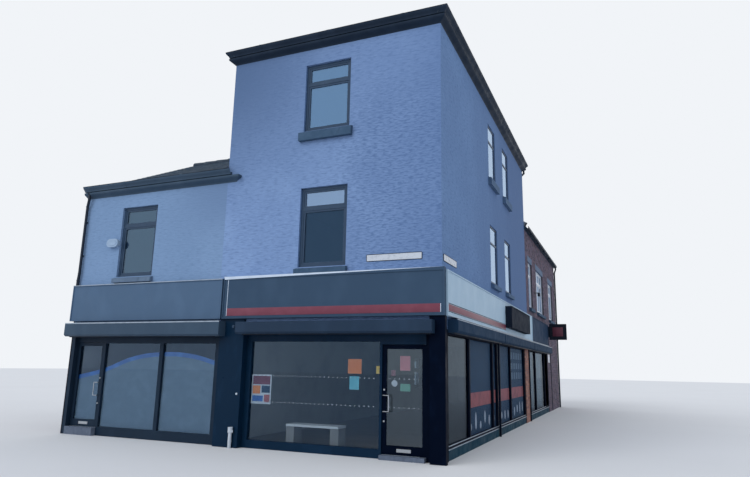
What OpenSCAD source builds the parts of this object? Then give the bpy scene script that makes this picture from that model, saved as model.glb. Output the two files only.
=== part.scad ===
// Corner shop building: a three-storey rendered block on the street corner,
// a two-storey wing beside it and a brick extension along the side street.
// The origin is the street corner of the walls at ground level.
// +X runs right along the front, +Y runs back along the side street, +Z is up.

/* [Plan] */
// Width of the corner block along the front
corner_w = 5200; // [4900:20:6500]
// Depth of the corner block along the side street
corner_d = 10500; // [10300:20:12000]
// Width of the wing along the front
wing_w = 4420; // [4300:20:5500]
// Depth of the wing
wing_d = 8000; // [6500:50:9500]
// Length of the extension along the side street
extension_d = 9100; // [8600:50:11000]
// Thickness of the outer walls
wall_t = 300; // [215:5:330]
// Thickness of the half of the shared wall at the wing's far end
end_wall_t = 120; // [90:5:125]

/* [Heights] */
// Underside of the walls over the shopfronts
shop_head = 2450; // [2400:10:2600]
// Top of the walls of the corner block
corner_top = 8950; // [8750:10:10000]
// Top of the walls of the wing
wing_top = 5950; // [5750:10:6600]
// Top of the walls of the extension
extension_top = 6700; // [6100:10:7500]
// Level of the ground floor
ground_floor_z = 80; // [60:5:100]
// Level of the wing's ground floor
wing_floor_z = 180; // [150:5:190]
// Level of the first floor
first_floor_z = 3150; // [3000:10:3350]
// Level of the second floor
second_floor_z = 6100; // [6000:10:6400]
// Thickness of the upper floors
floor_t = 250; // [150:10:320]

/* [Roofs] */
// Slope of the hipped roof of the corner block in degrees
corner_pitch = 27; // [15:1:32]
// Slope of the roof of the wing in degrees
wing_pitch = 26.5; // [20:0.5:35]
// Slope of the roof of the extension in degrees
extension_pitch = 30; // [20:1:35]
// Thickness of the slates
slate_t = 40; // [20:2:60]
// How far the roof edges stand out past the walls
eaves_out = 60; // [40:5:90]
// Height of the upright edge of the corner block's and the wing's roofs
eaves_edge = 150; // [130:5:170]
// Height of the upright edge of the extension's roof
extension_edge = 90; // [80:5:120]

/* [Gutters and pipes] */
// Thickness of the fascia boards
board_t = 25; // [18:1:35]
// How far the extension's fascia boards hang below its roof's edge
board_drop = 10; // [5:1:20]
// How far the moulding under the ogee gutters starts below the top of the wall
bed_drop = 75; // [65:5:85]
// Height of that moulding's curve
bed_h = 120; // [100:5:125]
// Height of its upright edge
bed_lip = 20; // [10:1:20]
// How far it stands out past the fascia board
bed_past = 49; // [46:1:70]
// Length by which the wing's moulding laps over the corner block
bed_lap = 250; // [200:10:350]
// How far the ogee gutters start above the top of the wall
gutter_lift = 90; // [80:5:110]
// Depth of the ogee gutters
gutter_h = 130; // [120:5:150]
// Width of the ogee gutters at the top
gutter_w = 115; // [90:5:130]
// Width of the ogee gutters at the foot
gutter_foot = 45; // [40:1:45]
// Height of the upright lip of the ogee gutters
gutter_lip = 12; // [6:1:20]
// Thickness of the gutters
gutter_t = 12; // [8:1:16]
// Length by which the wing's gutter laps over the corner block
gutter_lap = 150; // [100:10:200]
// Width of the extension's plain gutters
plain_gutter_w = 80; // [70:5:100]
// Depth of the extension's plain gutters
plain_gutter_h = 80; // [60:5:95]
// How far those gutters start above the top of the wall
plain_gutter_lift = 20; // [10:5:30]
// How far the wing's gutters pass its far end
gutter_past = 30; // [10:1:60]
// Radius of the downpipes
pipe_r = 34; // [25:1:40]
// How much wider its sockets are at the bends
pipe_socket = 5; // [3:1:8]
// Gap between the roof's edge and the pipe that comes down from an ogee gutter
outlet_gap = 2; // [1:1:5]
// Distance from a wall to the centre of a downpipe
pipe_out = 62; // [60:1:90]
// Radius of the waste pipe at the foot of the pilaster
waste_r = 36; // [30:1:44]
// Height of the waste pipe
waste_h = 420; // [300:10:500]
// Distance from the pilaster's left edge to the waste pipe
waste_at = 480; // [200:10:500]
// Radius of the socket on the waste pipe
socket_r = 50; // [46:1:60]
// Height of that socket
socket_h = 110; // [80:5:150]
// Depth to which the socket is open
socket_in = 60; // [40:5:70]
// Radius of the small branch beside the socket
branch_r = 18; // [12:1:22]
// Wall of the waste pipe's socket
waste_t = 6; // [4:0.5:10]
// Distance from the end of the wing to its downpipe
wing_pipe_at = 55; // [45:1:90]
// Level at which the wing's downpipe steps towards its end
wing_pipe_z = 3900; // [3850:10:4200]
// How far it steps there
pipe_lean = 20; // [10:1:40]
// How far the outlet at the back of the corner block stands past its side wall
corner_pipe_past = 50; // [36:1:60]
// Distance from the side street's wall face to the downpipe below that outlet
corner_pipe_in = 150; // [100:5:300]
// Gap between that downpipe's foot and the extension's roof
roof_gap = 80; // [50:5:120]
// Distance from the far end of the extension to its downpipe
far_pipe_in = 200; // [150:5:400]
// Height of the bends below a gutter
neck_h = 180; // [120:5:260]
// Straight length between the wall top and those bends
neck_drop = 110; // [100:5:140]
// Height of a pipe clip
clip_h = 40; // [25:1:60]

/* [Upper windows] */
// Width of the windows over the front shop
front_win_w = 1140; // [900:10:1400]
// Distance from the corner to those windows
front_win_gap = 2080; // [1600:10:2500]
// Width of the wing's window
wing_win_w = 1120; // [900:10:1400]
// Distance from the corner block to the wing's window
wing_win_gap = 2050; // [1500:10:2500]
// Width of the windows over the side street
side_win_w = 930; // [750:10:1200]
// Distance along the side street to the first of them
side_win_gap = 4570; // [4000:10:5200]
// Spacing of those windows
side_win_pitch = 2030; // [1600:10:2600]
// Sill level of the first-floor windows
first_win_z = 3770; // [3700:10:3900]
// Height of the first-floor windows
first_win_h = 1770; // [1500:10:1850]
// Sill level of the first-floor windows over the side street
side_win_z = 3950; // [3800:10:4000]
// Height of the first-floor windows over the side street
side_win_h = 1580; // [1400:10:1700]
// Sill level of the second-floor windows
second_win_z = 6870; // [6800:10:7000]
// Height of the second-floor windows
second_win_h = 1625; // [1400:5:1650]
// Height of the top lights
top_light_h = 480; // [350:10:600]
// How far the windows lie behind the wall face
win_recess = 60; // [30:5:90]
// Face width of a window frame
frame_w = 62; // [50:1:75]
// Depth of a window frame
frame_d = 75; // [60:1:100]
// Face width of a sash
sash_w = 42; // [30:1:55]
// How far a sash lies behind the frame's face
sash_step = 12; // [8:1:20]
// Thickness of the window glass
pane_t = 24; // [6:1:28]
// Height of the first-floor sills
sill_h = 150; // [100:5:170]
// Height of the second-floor sills
second_sill_h = 240; // [150:5:260]
// How far the sills stand out
sill_out = 95; // [50:5:120]
// How far the first-floor sills pass the sides of a window
sill_lap = 45; // [30:5:100]
// How far the second-floor sills pass the sides of a window
second_sill_lap = 80; // [40:5:120]
// How much a sill falls from the frame to its front edge
sill_fall = 50; // [20:1:60]
// Height of the stone lintels of the extension
lintel_h = 215; // [150:5:260]
// How far those lintels pass the sides of a window
lintel_lap = 100; // [80:5:140]
// How far they stand out
lintel_out = 8; // [4:1:20]
// How far they reach into the wall
lintel_in = 100; // [80:5:120]

/* [Extension and rear windows] */
// Height of the extension's windows over the street
extension_win_h = 1670; // [1400:10:1750]
// Distance from the corner block to the extension's single window
single_win_gap = 600; // [400:10:800]
// Width of the single window
single_win_w = 900; // [700:10:1100]
// Distance from the corner block to the extension's triple window
triple_win_gap = 2600; // [2400:10:2900]
// Width of the triple window
triple_win_w = 2000; // [1700:10:2400]
// Distance from the corner block to the extension's double window
double_win_gap = 6400; // [5900:10:6550]
// Width of the double window
double_win_w = 1500; // [1300:10:1600]
// Height of the second-floor windows over the side street
second_side_h = 1575; // [1400:5:1600]
// Sill level of the ground-floor windows at the back
rear_low_z = 900; // [800:10:1000]
// Height of those windows
rear_low_h = 1200; // [1000:10:1400]
// Distance from the corner block to the first windows over the yard
yard_win_gap = 3200; // [2500:10:3600]
// Spacing of the windows over the yard
yard_win_pitch = 3400; // [1800:10:3600]
// Width of the windows over the yard
yard_win_w = 1100; // [800:10:1200]

/* [Shopfronts] */
// How far the front shop windows lie behind the wall face
shop_recess = 100; // [70:5:120]
// How far the side shop windows lie behind the wall face
side_recess = 20; // [10:5:60]
// Depth of the shop window frames
shop_frame_d = 100; // [80:5:120]
// Face width of the shop window frames
shop_frame_w = 74; // [60:1:90]
// Thickness of the shop glass
shop_pane_t = 20; // [8:1:28]
// Level of the bottom of the front shop glass
shop_glass_z = 165; // [150:5:260]
// Level of the top of the front shop glass
shop_glass_top = 2205; // [2100:5:2260]
// Level of the bottom of the wing's shop glass
wing_glass_z = 205; // [190:5:300]
// Level of the top of the wing's shop glass
wing_glass_top = 2158; // [2100:5:2240]
// Level of the bottom of the side shop glass
side_glass_z = 270; // [240:5:330]
// Level of the top of the side shop glass
side_glass_top = 2360; // [2250:5:2375]
// Width of the pilaster between the two front shops
pilaster_w = 630; // [500:10:700]
// How far the pilaster starts inside the corner block
pilaster_in = 120; // [100:5:200]
// How far the pilaster stands out
pilaster_out = 55; // [30:5:90]
// Width of the left stile of the front shop window
shop_stile_w = 130; // [80:5:160]
// Width of the right stile of the wing's shop window
wing_stile_w = 205; // [150:5:240]
// Distance from the end of the wing to its door
wing_post_w = 128; // [128:1:180]
// Distance from the wing's end to the bar between its two shop windows
wing_mullion_at = 2750; // [2300:10:3000]
// Width of that bar
wing_mullion_w = 100; // [60:5:130]

/* [Corner post] */
// Width of the corner post along the front
post_w = 310; // [250:5:340]
// Depth of the corner post along the side
post_d = 430; // [330:5:480]
// How far the corner post stands out past both walls
post_out = 80; // [50:5:110]
// How far its casing turns back along the side street
casing_back = 40; // [20:5:80]
// Width of the door jamb beside the corner post
jamb_w = 122; // [90:1:150]

/* [Side shopfront] */
// Distance from the corner to the first bar of the side shopfront
side_bar_1 = 2130; // [1700:10:2600]
// Distance from the corner to the second bar
side_bar_2 = 4580; // [4100:10:4900]
// Distance from the corner to the third bar
side_bar_3 = 5160; // [5050:10:5600]
// Distance from the corner to the fourth bar
side_bar_4 = 7100; // [6500:10:8000]
// Width of the bars
side_bar_w = 90; // [60:5:120]
// Width of the brick pier at the back of the corner block
pier_w = 800; // [600:10:950]
// Distance from the corner block to the bar of the extension's shopfront
extension_bar = 1750; // [1400:10:2200]
// Length of the extension's shopfront
extension_shop_l = 5200; // [4800:10:5600]
// Width of the dark end panel of that shopfront
end_panel_w = 950; // [700:10:1100]
// How far the sill of the side shopfront stands out past its stall riser
stall_sill_out = 15; // [5:1:18]
// Thickness of that sill
stall_sill_t = 30; // [15:1:40]

/* [Doors] */
// Width of the corner door
door_w = 898; // [820:2:940]
// Thickness of the door leaves
leaf_t = 50; // [40:1:60]
// Width of the stiles and top rail of a door
leaf_stile = 82; // [70:1:100]
// Height of the bottom rail of a door
leaf_rail = 165; // [120:5:220]
// Gap round a door leaf
door_gap = 6; // [5:0.5:8]
// Top of the corner door's opening
door_head = 2150; // [2050:5:2170]
// Top of the wing door's opening
wing_door_head = 2180; // [2100:5:2200]
// Width of the wing door
wing_door_w = 870; // [800:2:900]
// Width of the frame bar between a door and its shop window
door_bar = 52; // [40:1:70]
// Radius of the hinge knuckles
knuckle_r = 8; // [6:0.5:12]
// Length of one hinge knuckle
knuckle_l = 35; // [20:1:45]
// Play between hinge knuckles
hinge_play = 0.3; // [0.3:0.1:1]
// Height of the lowest hinge above the floor
low_hinge_z = 250; // [150:5:400]
// Height of the middle hinge above the floor
middle_hinge_z = 1100; // [900:5:1300]
// Distance from the top of a door leaf to its top hinge
top_hinge_drop = 215; // [150:5:400]
// Thickness of the hinge flaps
flap_t = 5; // [3:0.5:6]
// Radius of the pull handle's rod
pull_r = 9; // [7:0.5:12]
// Length of the pull handle
pull_l = 320; // [220:5:400]
// Height of the corner door's pull handle above the ground
pull_z = 865; // [800:5:950]
// How much higher the wing door's pull handle is
wing_pull_lift = 50; // [0:5:80]
// How far the pull handle stands off the leaf
pull_out = 65; // [40:1:75]
// How far the grip is set over from its fixings towards the glass
pull_crank = 115; // [60:5:130]
// Width of the letter plate
letter_w = 290; // [200:5:320]
// Height of the letter plate
letter_h = 60; // [40:1:80]
// Thickness of the letter plate
letter_t = 8; // [4:1:12]
// Radius of the lock cylinders
lock_r = 17; // [12:1:22]
// How far the lock cylinders stand out
lock_out = 14; // [8:1:20]
// Distance from the pull handle to the lock cylinder above it
lock_gap = 95; // [50:5:150]
// Distance from the pull handle to the lock cylinder below it
low_lock_gap = 175; // [100:5:200]

/* [Fascias and shutters] */
// Level of the underside of the front fascias
fascia_z = 2690; // [2660:5:2750]
// Height of the front fascias
fascia_h = 890; // [700:5:950]
// Depth of the fascias
fascia_d = 120; // [60:5:160]
// Height of the bright strip on top of the corner fascia
strip_h = 40; // [20:1:50]
// Distance from the corner block's left edge to its front fascia
fascia_in = 180; // [150:10:400]
// Gap between the two front fascias
fascia_joint = 40; // [10:1:60]
// How far the wing's fascia passes the end of the wing
fascia_past = 20; // [0:1:40]
// Width of the rim of a fascia's tray
tray_rim = 25; // [15:1:40]
// How deep the tray is
tray_in = 15; // [8:1:30]
// How far the side fascia runs on over the extension
side_fascia_past = 400; // [300:10:700]
// How far the extension's fascia stops short of its shopfront's end
extension_fascia_short = 250; // [100:10:400]
// Distance from the corner to the bare light box on the side fascia
light_box_at = 5880; // [5000:10:6500]
// Length of the light box
light_box_l = 3320; // [2500:10:3500]
// Height of the light box
light_box_h = 600; // [500:10:620]
// Height of its underside above that of the fascia
light_box_lift = 160; // [100:5:200]
// How far it stands out past the fascia
light_box_out = 165; // [100:5:200]
// Width of the rim round its face
light_box_rim = 35; // [20:1:60]
// How far its face lies behind the rim
light_box_in = 8; // [4:1:15]
// Level of the underside of the front shutter boxes
box_z = 2350; // [2320:5:2380]
// Height of the front shutter boxes
box_h = 255; // [240:5:290]
// Depth of the front shutter boxes
box_d = 300; // [200:5:320]
// Height of the slope under the shutter boxes' front edge
box_slope = 40; // [20:1:60]
// Bevel along their top edge
box_bevel = 15; // [8:1:25]
// How far the corner shop's box laps over the pilaster
box_lap = 60; // [20:1:100]
// How far that box stops short of the corner
box_short = 120; // [20:5:200]
// How far the wing's box laps over the pilaster
wing_box_lap = 140; // [60:5:200]
// How far the wing's box starts inside the end of the wing
wing_box_in = 60; // [40:1:100]
// How much lower the wing's box hangs
wing_box_drop = 40; // [30:1:55]
// How much higher the wing's box is
wing_box_more = 65; // [20:1:70]
// Level of the underside of the side shutter boxes
side_box_z = 2390; // [2370:5:2410]
// Height of the side shutter boxes
side_box_h = 255; // [200:5:270]
// Depth of the side shutter boxes
side_box_d = 220; // [180:5:280]
// Width of the shutter guides on the side street
guide_w = 70; // [50:5:100]
// Depth of the shutter guides
guide_d = 45; // [30:5:60]
// Distance from the third bar of the side shopfront to the first guide
guide_past_bar = 10; // [0:1:15]
// How far the second guide starts before the end of the corner block
guide_before_end = 40; // [20:1:60]
// Distance of the projecting sign from the end of the extension's shopfront
sign_at = 200; // [150:5:400]
// Height of the projecting sign above the fascias' underside
sign_lift = 280; // [200:5:350]
// How far the sign's bracket starts inside its upper and lower edge
sign_arm_in = 100; // [60:5:160]
// Width of the projecting sign
sign_w = 700; // [500:10:800]
// Height of the projecting sign
sign_h = 660; // [500:10:700]
// Thickness of the projecting sign
sign_t = 120; // [80:5:180]
// Length of the projecting sign's bracket
sign_arm = 150; // [80:5:200]

/* [Small pieces] */
// Width of the alarm box
alarm_w = 370; // [280:5:420]
// Height of the alarm box
alarm_h = 210; // [150:5:260]
// Depth of the alarm box
alarm_d = 90; // [60:5:120]
// Distance from the end of the wing to the middle of the alarm box
alarm_at = 1080; // [500:10:1200]
// Level of the middle of the alarm box
alarm_z = 4630; // [4300:10:5400]
// Length of the street name plate on the front
plate_l = 1200; // [900:10:1400]
// Length of the street name plate on the side street
side_plate_l = 960; // [700:10:1100]
// Height of the street name plates
plate_h = 145; // [120:5:160]
// Thickness of the street name plates
plate_t = 14; // [8:1:25]
// Distance from the corner to the plate on the front
plate_gap = 400; // [200:10:700]
// Level of that plate's lower edge
plate_z = 3810; // [3700:5:4000]
// Distance from the corner to the plate on the side street
side_plate_gap = 90; // [50:5:400]
// Level of that plate's lower edge
side_plate_z = 3765; // [3700:5:4000]
// How far the door steps stand out past the walls
step_out = 20; // [10:1:40]
// Distance from the pilaster to the bench
bench_at = 880; // [600:10:1100]
// Gap between the wall line and the bench
bench_gap = 120; // [80:5:200]
// How far the bench's end blocks stand back from its front and back
bench_in = 20; // [10:1:40]
// Length of the bench behind the shop window
bench_l = 1230; // [1100:10:1600]
// Depth of the bench
bench_d = 380; // [300:10:450]
// Height of the bench above the floor
bench_h = 420; // [380:10:480]
// Thickness of the bench's top
bench_top_t = 45; // [30:1:60]
// Width of the bench's end blocks
bench_end_w = 190; // [100:5:250]

/* [Hidden] */

// Overlap of a cutting tool past the faces that it cuts
past = 10;
// Number of flats in an ogee curve, and how strongly it bends
ogee_steps = 10;
ogee_bend = 0.125;
street_l = corner_d + extension_d;
front_l = corner_w + wing_w;

// Each window is [distance along its wall, sill level, width, height, lights]
front_windows = [
    [-front_win_gap - front_win_w, first_win_z, front_win_w, first_win_h, 1],
    [-front_win_gap - front_win_w, second_win_z, front_win_w, second_win_h, 1]];
wing_windows = [
    [-corner_w - wing_win_gap - wing_win_w, first_win_z, wing_win_w, first_win_h, 1]];
side_windows = [for (i = [0, 1], level = [[side_win_z, side_win_h],
        [second_win_z, second_side_h]])
    [side_win_gap + i * side_win_pitch, level[0], side_win_w, level[1], 1]];
// The extension has a single, a triple and a double window
extension_windows = [
    [corner_d + single_win_gap, side_win_z, single_win_w, extension_win_h, 1],
    [corner_d + triple_win_gap, side_win_z, triple_win_w, extension_win_h, 3],
    [corner_d + double_win_gap, side_win_z, double_win_w, extension_win_h, 2]];
// The back of the wing, the yard side and the gable repeat the same windows
wing_rear_windows = [for (level = [[rear_low_z, rear_low_h], [first_win_z, first_win_h]])
    [corner_w + wing_win_gap, level[0], wing_win_w, level[1], 1]];
yard_windows = [for (i = [0, 1], level = [[rear_low_z, rear_low_h],
        [side_win_z, side_win_h]])
    [-corner_d - yard_win_gap - i * yard_win_pitch, level[0], yard_win_w, level[1], 1]];
gable_windows = [[(corner_w - side_win_w) / 2, side_win_z, side_win_w, side_win_h, 1]];

// Front shop plan, from left to right along the front
pilaster_x = -corner_w + pilaster_in;
shop_x = pilaster_x + pilaster_w;
post_x = post_out - post_w;
jamb_x = post_x - jamb_w;
door_x = jamb_x - door_gap - door_w;
door_bar_x = door_x - door_gap - door_bar;
wing_door_x = -front_l + wing_post_w + door_gap;
wing_bar_x = wing_door_x + wing_door_w + door_gap;
wing_mullion_x = -front_l + wing_mullion_at;
leaf_y = shop_recess + (shop_frame_d - leaf_t) / 2;
// Side shopfront, from the corner post back to the brick pier
post_end = post_d - post_out;
pier_y = corner_d - pier_w;
extension_shop_end = corner_d + extension_shop_l;

// Places the side street's pieces: x runs back along the street, y into the wall
module on_side() {
    rotate([0, 0, 90]) children();
}
module on_wing_back() {
    translate([0, wing_d, 0]) rotate([0, 0, 180]) children();
}
module on_yard_side() {
    translate([-corner_w, 0, 0]) rotate([0, 0, -90]) children();
}
module on_gable() {
    translate([0, street_l, 0]) rotate([0, 0, 180]) children();
}
module on_corner_rear() {
    translate([0, corner_d, 0]) rotate([0, 0, 180]) children();
}
// A block from one corner to the other
module block(from, to) {
    translate(from) cube(to - from);
}
// A profile drawn as [y, z] and drawn out along x
module along_x(x0, x1, profile) {
    translate([x0, 0, 0]) rotate([90, 0, 90])
        linear_extrude(x1 - x0) polygon(profile);
}
// A profile drawn as [x, z] and drawn out along y
module along_y(y0, y1, profile) {
    translate([0, y1, 0]) rotate([90, 0, 0])
        linear_extrude(y1 - y0) polygon(profile);
}

// Window parts, in the frame of their wall
module window_hole(w) {
    block([w[0], -past, w[1]], [w[0] + w[2], wall_t + past, w[1] + w[3]]);
}
// Openings of one window's lights, with the sashes' edge inset by extra
function light_w(w) = (w[2] - (w[4] + 1) * frame_w) / w[4];
module window_lights(w, extra, y0, y1) {
    step = light_w(w) + frame_w;
    transom = w[3] - top_light_h;
    for (i = [0:w[4] - 1], row = [[frame_w, transom - frame_w / 2],
            [transom + frame_w / 2, w[3] - frame_w]])
        block([w[0] + frame_w + i * step + extra, y0, w[1] + row[0] + extra],
            [w[0] + frame_w + i * step + light_w(w) - extra, y1, w[1] + row[1] - extra]);
}
module window_frame(w) {
    front = win_recess;
    back = win_recess + frame_d;
    difference() {
        block([w[0], front, w[1]], [w[0] + w[2], back, w[1] + w[3]]);
        window_lights(w, 0, front - past, front + sash_step);
        window_lights(w, sash_w, front, back + past);
    }
}
module window_glass(w) {
    middle = win_recess + (frame_d + sash_step) / 2;
    window_lights(w, sash_w, middle - pane_t / 2, middle + pane_t / 2);
}
// A weathered sill, built into the wall at both ends
module window_sill(w) {
    upper = w[1] > second_floor_z;
    lap = upper ? second_sill_lap : sill_lap;
    foot = w[1] - (upper ? second_sill_h : sill_h);
    along_x(w[0] - lap, w[0] + w[2] + lap, [
        [-sill_out, foot], [win_recess + frame_d, foot], [win_recess + frame_d, w[1]],
        [win_recess, w[1]], [-sill_out, w[1] - sill_fall]]);
}
module window_lintel(w) {
    block([w[0] - lintel_lap, -lintel_out, w[1] + w[3]],
        [w[0] + w[2] + lintel_lap, lintel_in, w[1] + w[3] + lintel_h]);
}
// Takes the windows and their sills out of a wall
module with_windows(windows) {
    difference() {
        children();
        for (w = windows) {
            window_hole(w);
            window_sill(w);
        }
    }
}

// Walls
module corner_front_wall() {
    color("lightsteelblue") with_windows(front_windows)
        block([-corner_w, 0, shop_head], [0, wall_t, corner_top]);
}
module corner_side_wall() {
    color("lightsteelblue") on_side() with_windows(side_windows)
        block([wall_t, 0, shop_head], [corner_d, wall_t, corner_top]);
}
module corner_rear_wall() {
    color("lightsteelblue")
        block([wall_t - corner_w, corner_d - wall_t, shop_head],
            [-wall_t, corner_d, corner_top]);
}
module dividing_wall() {
    color("lightsteelblue")
        block([-corner_w, wall_t, 0], [wall_t - corner_w, corner_d, corner_top]);
}
module wing_front_wall() {
    color("lightsteelblue") with_windows(wing_windows)
        block([-front_l, 0, shop_head], [-corner_w, wall_t, wing_top]);
}
module wing_rear_wall() {
    color("lightsteelblue") on_wing_back() with_windows(wing_rear_windows)
        block([corner_w, 0, 0], [front_l, wall_t, wing_top]);
}
// The shared wall runs up to the underside of the slates
module wing_end_wall() {
    color("rosybrown") along_x(-front_l, end_wall_t - front_l,
        gable_profile(0, wing_d, wing_top, wing_pitch, eaves_edge));
}
module extension_street_wall() {
    color("rosybrown") on_side() difference() {
        with_windows(extension_windows)
            along_y(0, wall_t, [[corner_d, shop_head], [extension_shop_end, shop_head],
                [extension_shop_end, 0], [street_l, 0], [street_l, extension_top],
                [corner_d, extension_top]]);
        for (w = extension_windows) window_lintel(w);
    }
}
module extension_yard_wall() {
    color("rosybrown") on_yard_side() with_windows(yard_windows)
        block([-street_l, 0, 0], [-corner_d, wall_t, extension_top]);
}
module extension_gable_wall() {
    color("rosybrown") difference() {
        along_y(street_l - wall_t, street_l,
            gable_profile(-corner_w, 0, extension_top, extension_pitch, extension_edge));
        on_gable() for (w = gable_windows) {
            window_hole(w);
            window_sill(w);
        }
    }
}

// Roofs: a hollow shell whose flat foot sits on the wall tops
function roof_outside(a, b, z, pitch, edge) = [[a - eaves_out, z], [b + eaves_out, z],
    [b + eaves_out, z + edge],
    [(a + b) / 2, z + edge + ((b - a) / 2 + eaves_out) * tan(pitch)],
    [a - eaves_out, z + edge]];
function roof_inside(a, b, z, pitch) = [[b - wall_t, z],
    [(a + b) / 2, z + ((b - a) / 2 - wall_t) * tan(pitch)], [a + wall_t, z]];
// A gable stands between two walls, and above them on their ends
function gable_profile(a, b, z, pitch, edge) =
    let (side = z + edge + eaves_out * tan(pitch) - slate_t)
    [[a + wall_t, 0], [b - wall_t, 0], [b - wall_t, z], [b, z], [b, side],
        [(a + b) / 2, side + (b - a) / 2 * tan(pitch)], [a, side], [a, z],
        [a + wall_t, z]];
// The hips are where two ridged solids of the same slope meet
function hip_outside(a, b, z, rise, run) = [[a - eaves_out, z], [b + eaves_out, z],
    [b + eaves_out, z + eaves_edge], [b + eaves_out - run, z + eaves_edge + rise],
    [a - eaves_out + run, z + eaves_edge + rise], [a - eaves_out, z + eaves_edge]];
function hip_inside(a, b, z, rise, run) = [[a + wall_t, z], [b - wall_t, z],
    [b - wall_t - run, z + rise], [a + wall_t + run, z + rise]];
module corner_roof() {
    outer_run = corner_w / 2 + eaves_out;
    inner_run = corner_w / 2 - wall_t;
    color("dimgray") difference() {
        intersection() {
            along_y(-eaves_out, corner_d + eaves_out,
                roof_outside(-corner_w, 0, corner_top, corner_pitch, eaves_edge));
            along_x(-corner_w - eaves_out, eaves_out, hip_outside(0, corner_d,
                corner_top, outer_run * tan(corner_pitch), outer_run));
        }
        intersection() {
            along_y(wall_t, corner_d - wall_t,
                roof_inside(-corner_w, 0, corner_top, corner_pitch));
            along_x(wall_t - corner_w, -wall_t, hip_inside(0, corner_d,
                corner_top, inner_run * tan(corner_pitch), inner_run));
        }
    }
}
module wing_roof() {
    color("dimgray") difference() {
        along_x(-front_l, -corner_w,
            roof_outside(0, wing_d, wing_top, wing_pitch, eaves_edge));
        along_x(-front_l - past, past - corner_w,
            roof_inside(0, wing_d, wing_top, wing_pitch));
        along_x(-front_l - past, end_wall_t - front_l,
            gable_profile(0, wing_d, wing_top, wing_pitch, eaves_edge));
    }
}
module extension_roof() {
    color("dimgray") difference() {
        along_y(corner_d, street_l + eaves_out,
            roof_outside(-corner_w, 0, extension_top, extension_pitch, extension_edge));
        along_y(corner_d - past, street_l,
            roof_inside(-corner_w, 0, extension_top, extension_pitch));
        along_y(street_l - wall_t, street_l + eaves_out + past,
            gable_profile(-corner_w, 0, extension_top, extension_pitch, extension_edge));
    }
}

// Eaves, as outlines of [out, height] from the wall's face and its top. The corner block
// and the wing have a moulding under a fascia board with an open ogee gutter.
board_out = eaves_out + board_t;
bed_out = board_out + bed_past;
bed_top = bed_h - bed_drop;
lip_out = board_out + gutter_w;
gutter_top = gutter_lift + gutter_h;
outlet_out = eaves_out + outlet_gap + pipe_r;
// An S-shaped curve from a to b
function ogee(a, b) = [for (i = [0:ogee_steps]) let (t = i / ogee_steps)
    [a[0] + (b[0] - a[0]) * (t - ogee_bend * sin(360 * t)), a[1] + (b[1] - a[1]) * t]];
bed_outline = concat(ogee([0, -bed_drop], [bed_out, bed_top]),
    [[bed_out, bed_top + bed_lip]]);
eaves_outline = concat(bed_outline,
    [[board_out, bed_top + bed_lip], [board_out, gutter_lift]],
    ogee([board_out + gutter_foot, gutter_lift], [lip_out, gutter_top - gutter_lip]),
    [[lip_out, gutter_top]]);
trough_outline = ogee([lip_out - gutter_t, gutter_top],
    [board_out + gutter_foot - gutter_t, gutter_lift + gutter_t]);
// What the corner block's eaves leave free for its walls and roof
eaves_back = [[eaves_out, gutter_top + past], [eaves_out, 0], [0, 0],
    [0, -bed_drop - past]];
eaves_section = concat(eaves_outline, trough_outline,
    [[board_out, gutter_lift + gutter_t], [board_out, eaves_edge],
        [eaves_out, eaves_edge], [eaves_out, 0], [0, 0]]);
plain_section = [[eaves_out, -board_drop], [board_out, -board_drop],
    [board_out, plain_gutter_lift], [board_out + plain_gutter_w, plain_gutter_lift],
    [board_out + plain_gutter_w, plain_gutter_lift + plain_gutter_h],
    [board_out + plain_gutter_w - gutter_t, plain_gutter_lift + plain_gutter_h],
    [board_out + plain_gutter_w - gutter_t, plain_gutter_lift + gutter_t],
    [board_out, plain_gutter_lift + gutter_t], [board_out, extension_edge],
    [eaves_out, extension_edge]];
// Straight eaves along x, facing -y
module eaves_run(x0, x1, z, section) {
    along_x(x0, x1, [for (p = section) [-p[0], z + p[1]]]);
}
// The corner block's plan grown by an outline, with mitred corners
function both_sides(a, b, outline) = concat(
    [for (p = outline) [b + p[0], corner_top + p[1]]],
    [for (i = [len(outline) - 1:-1:0]) [a - outline[i][0], corner_top + outline[i][1]]]);
module mitred_block(outline) {
    reach = lip_out + past;
    intersection() {
        along_y(-reach, corner_d + reach, both_sides(-corner_w, 0, outline));
        along_x(-corner_w - reach, reach, both_sides(0, corner_d, outline));
    }
}
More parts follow.
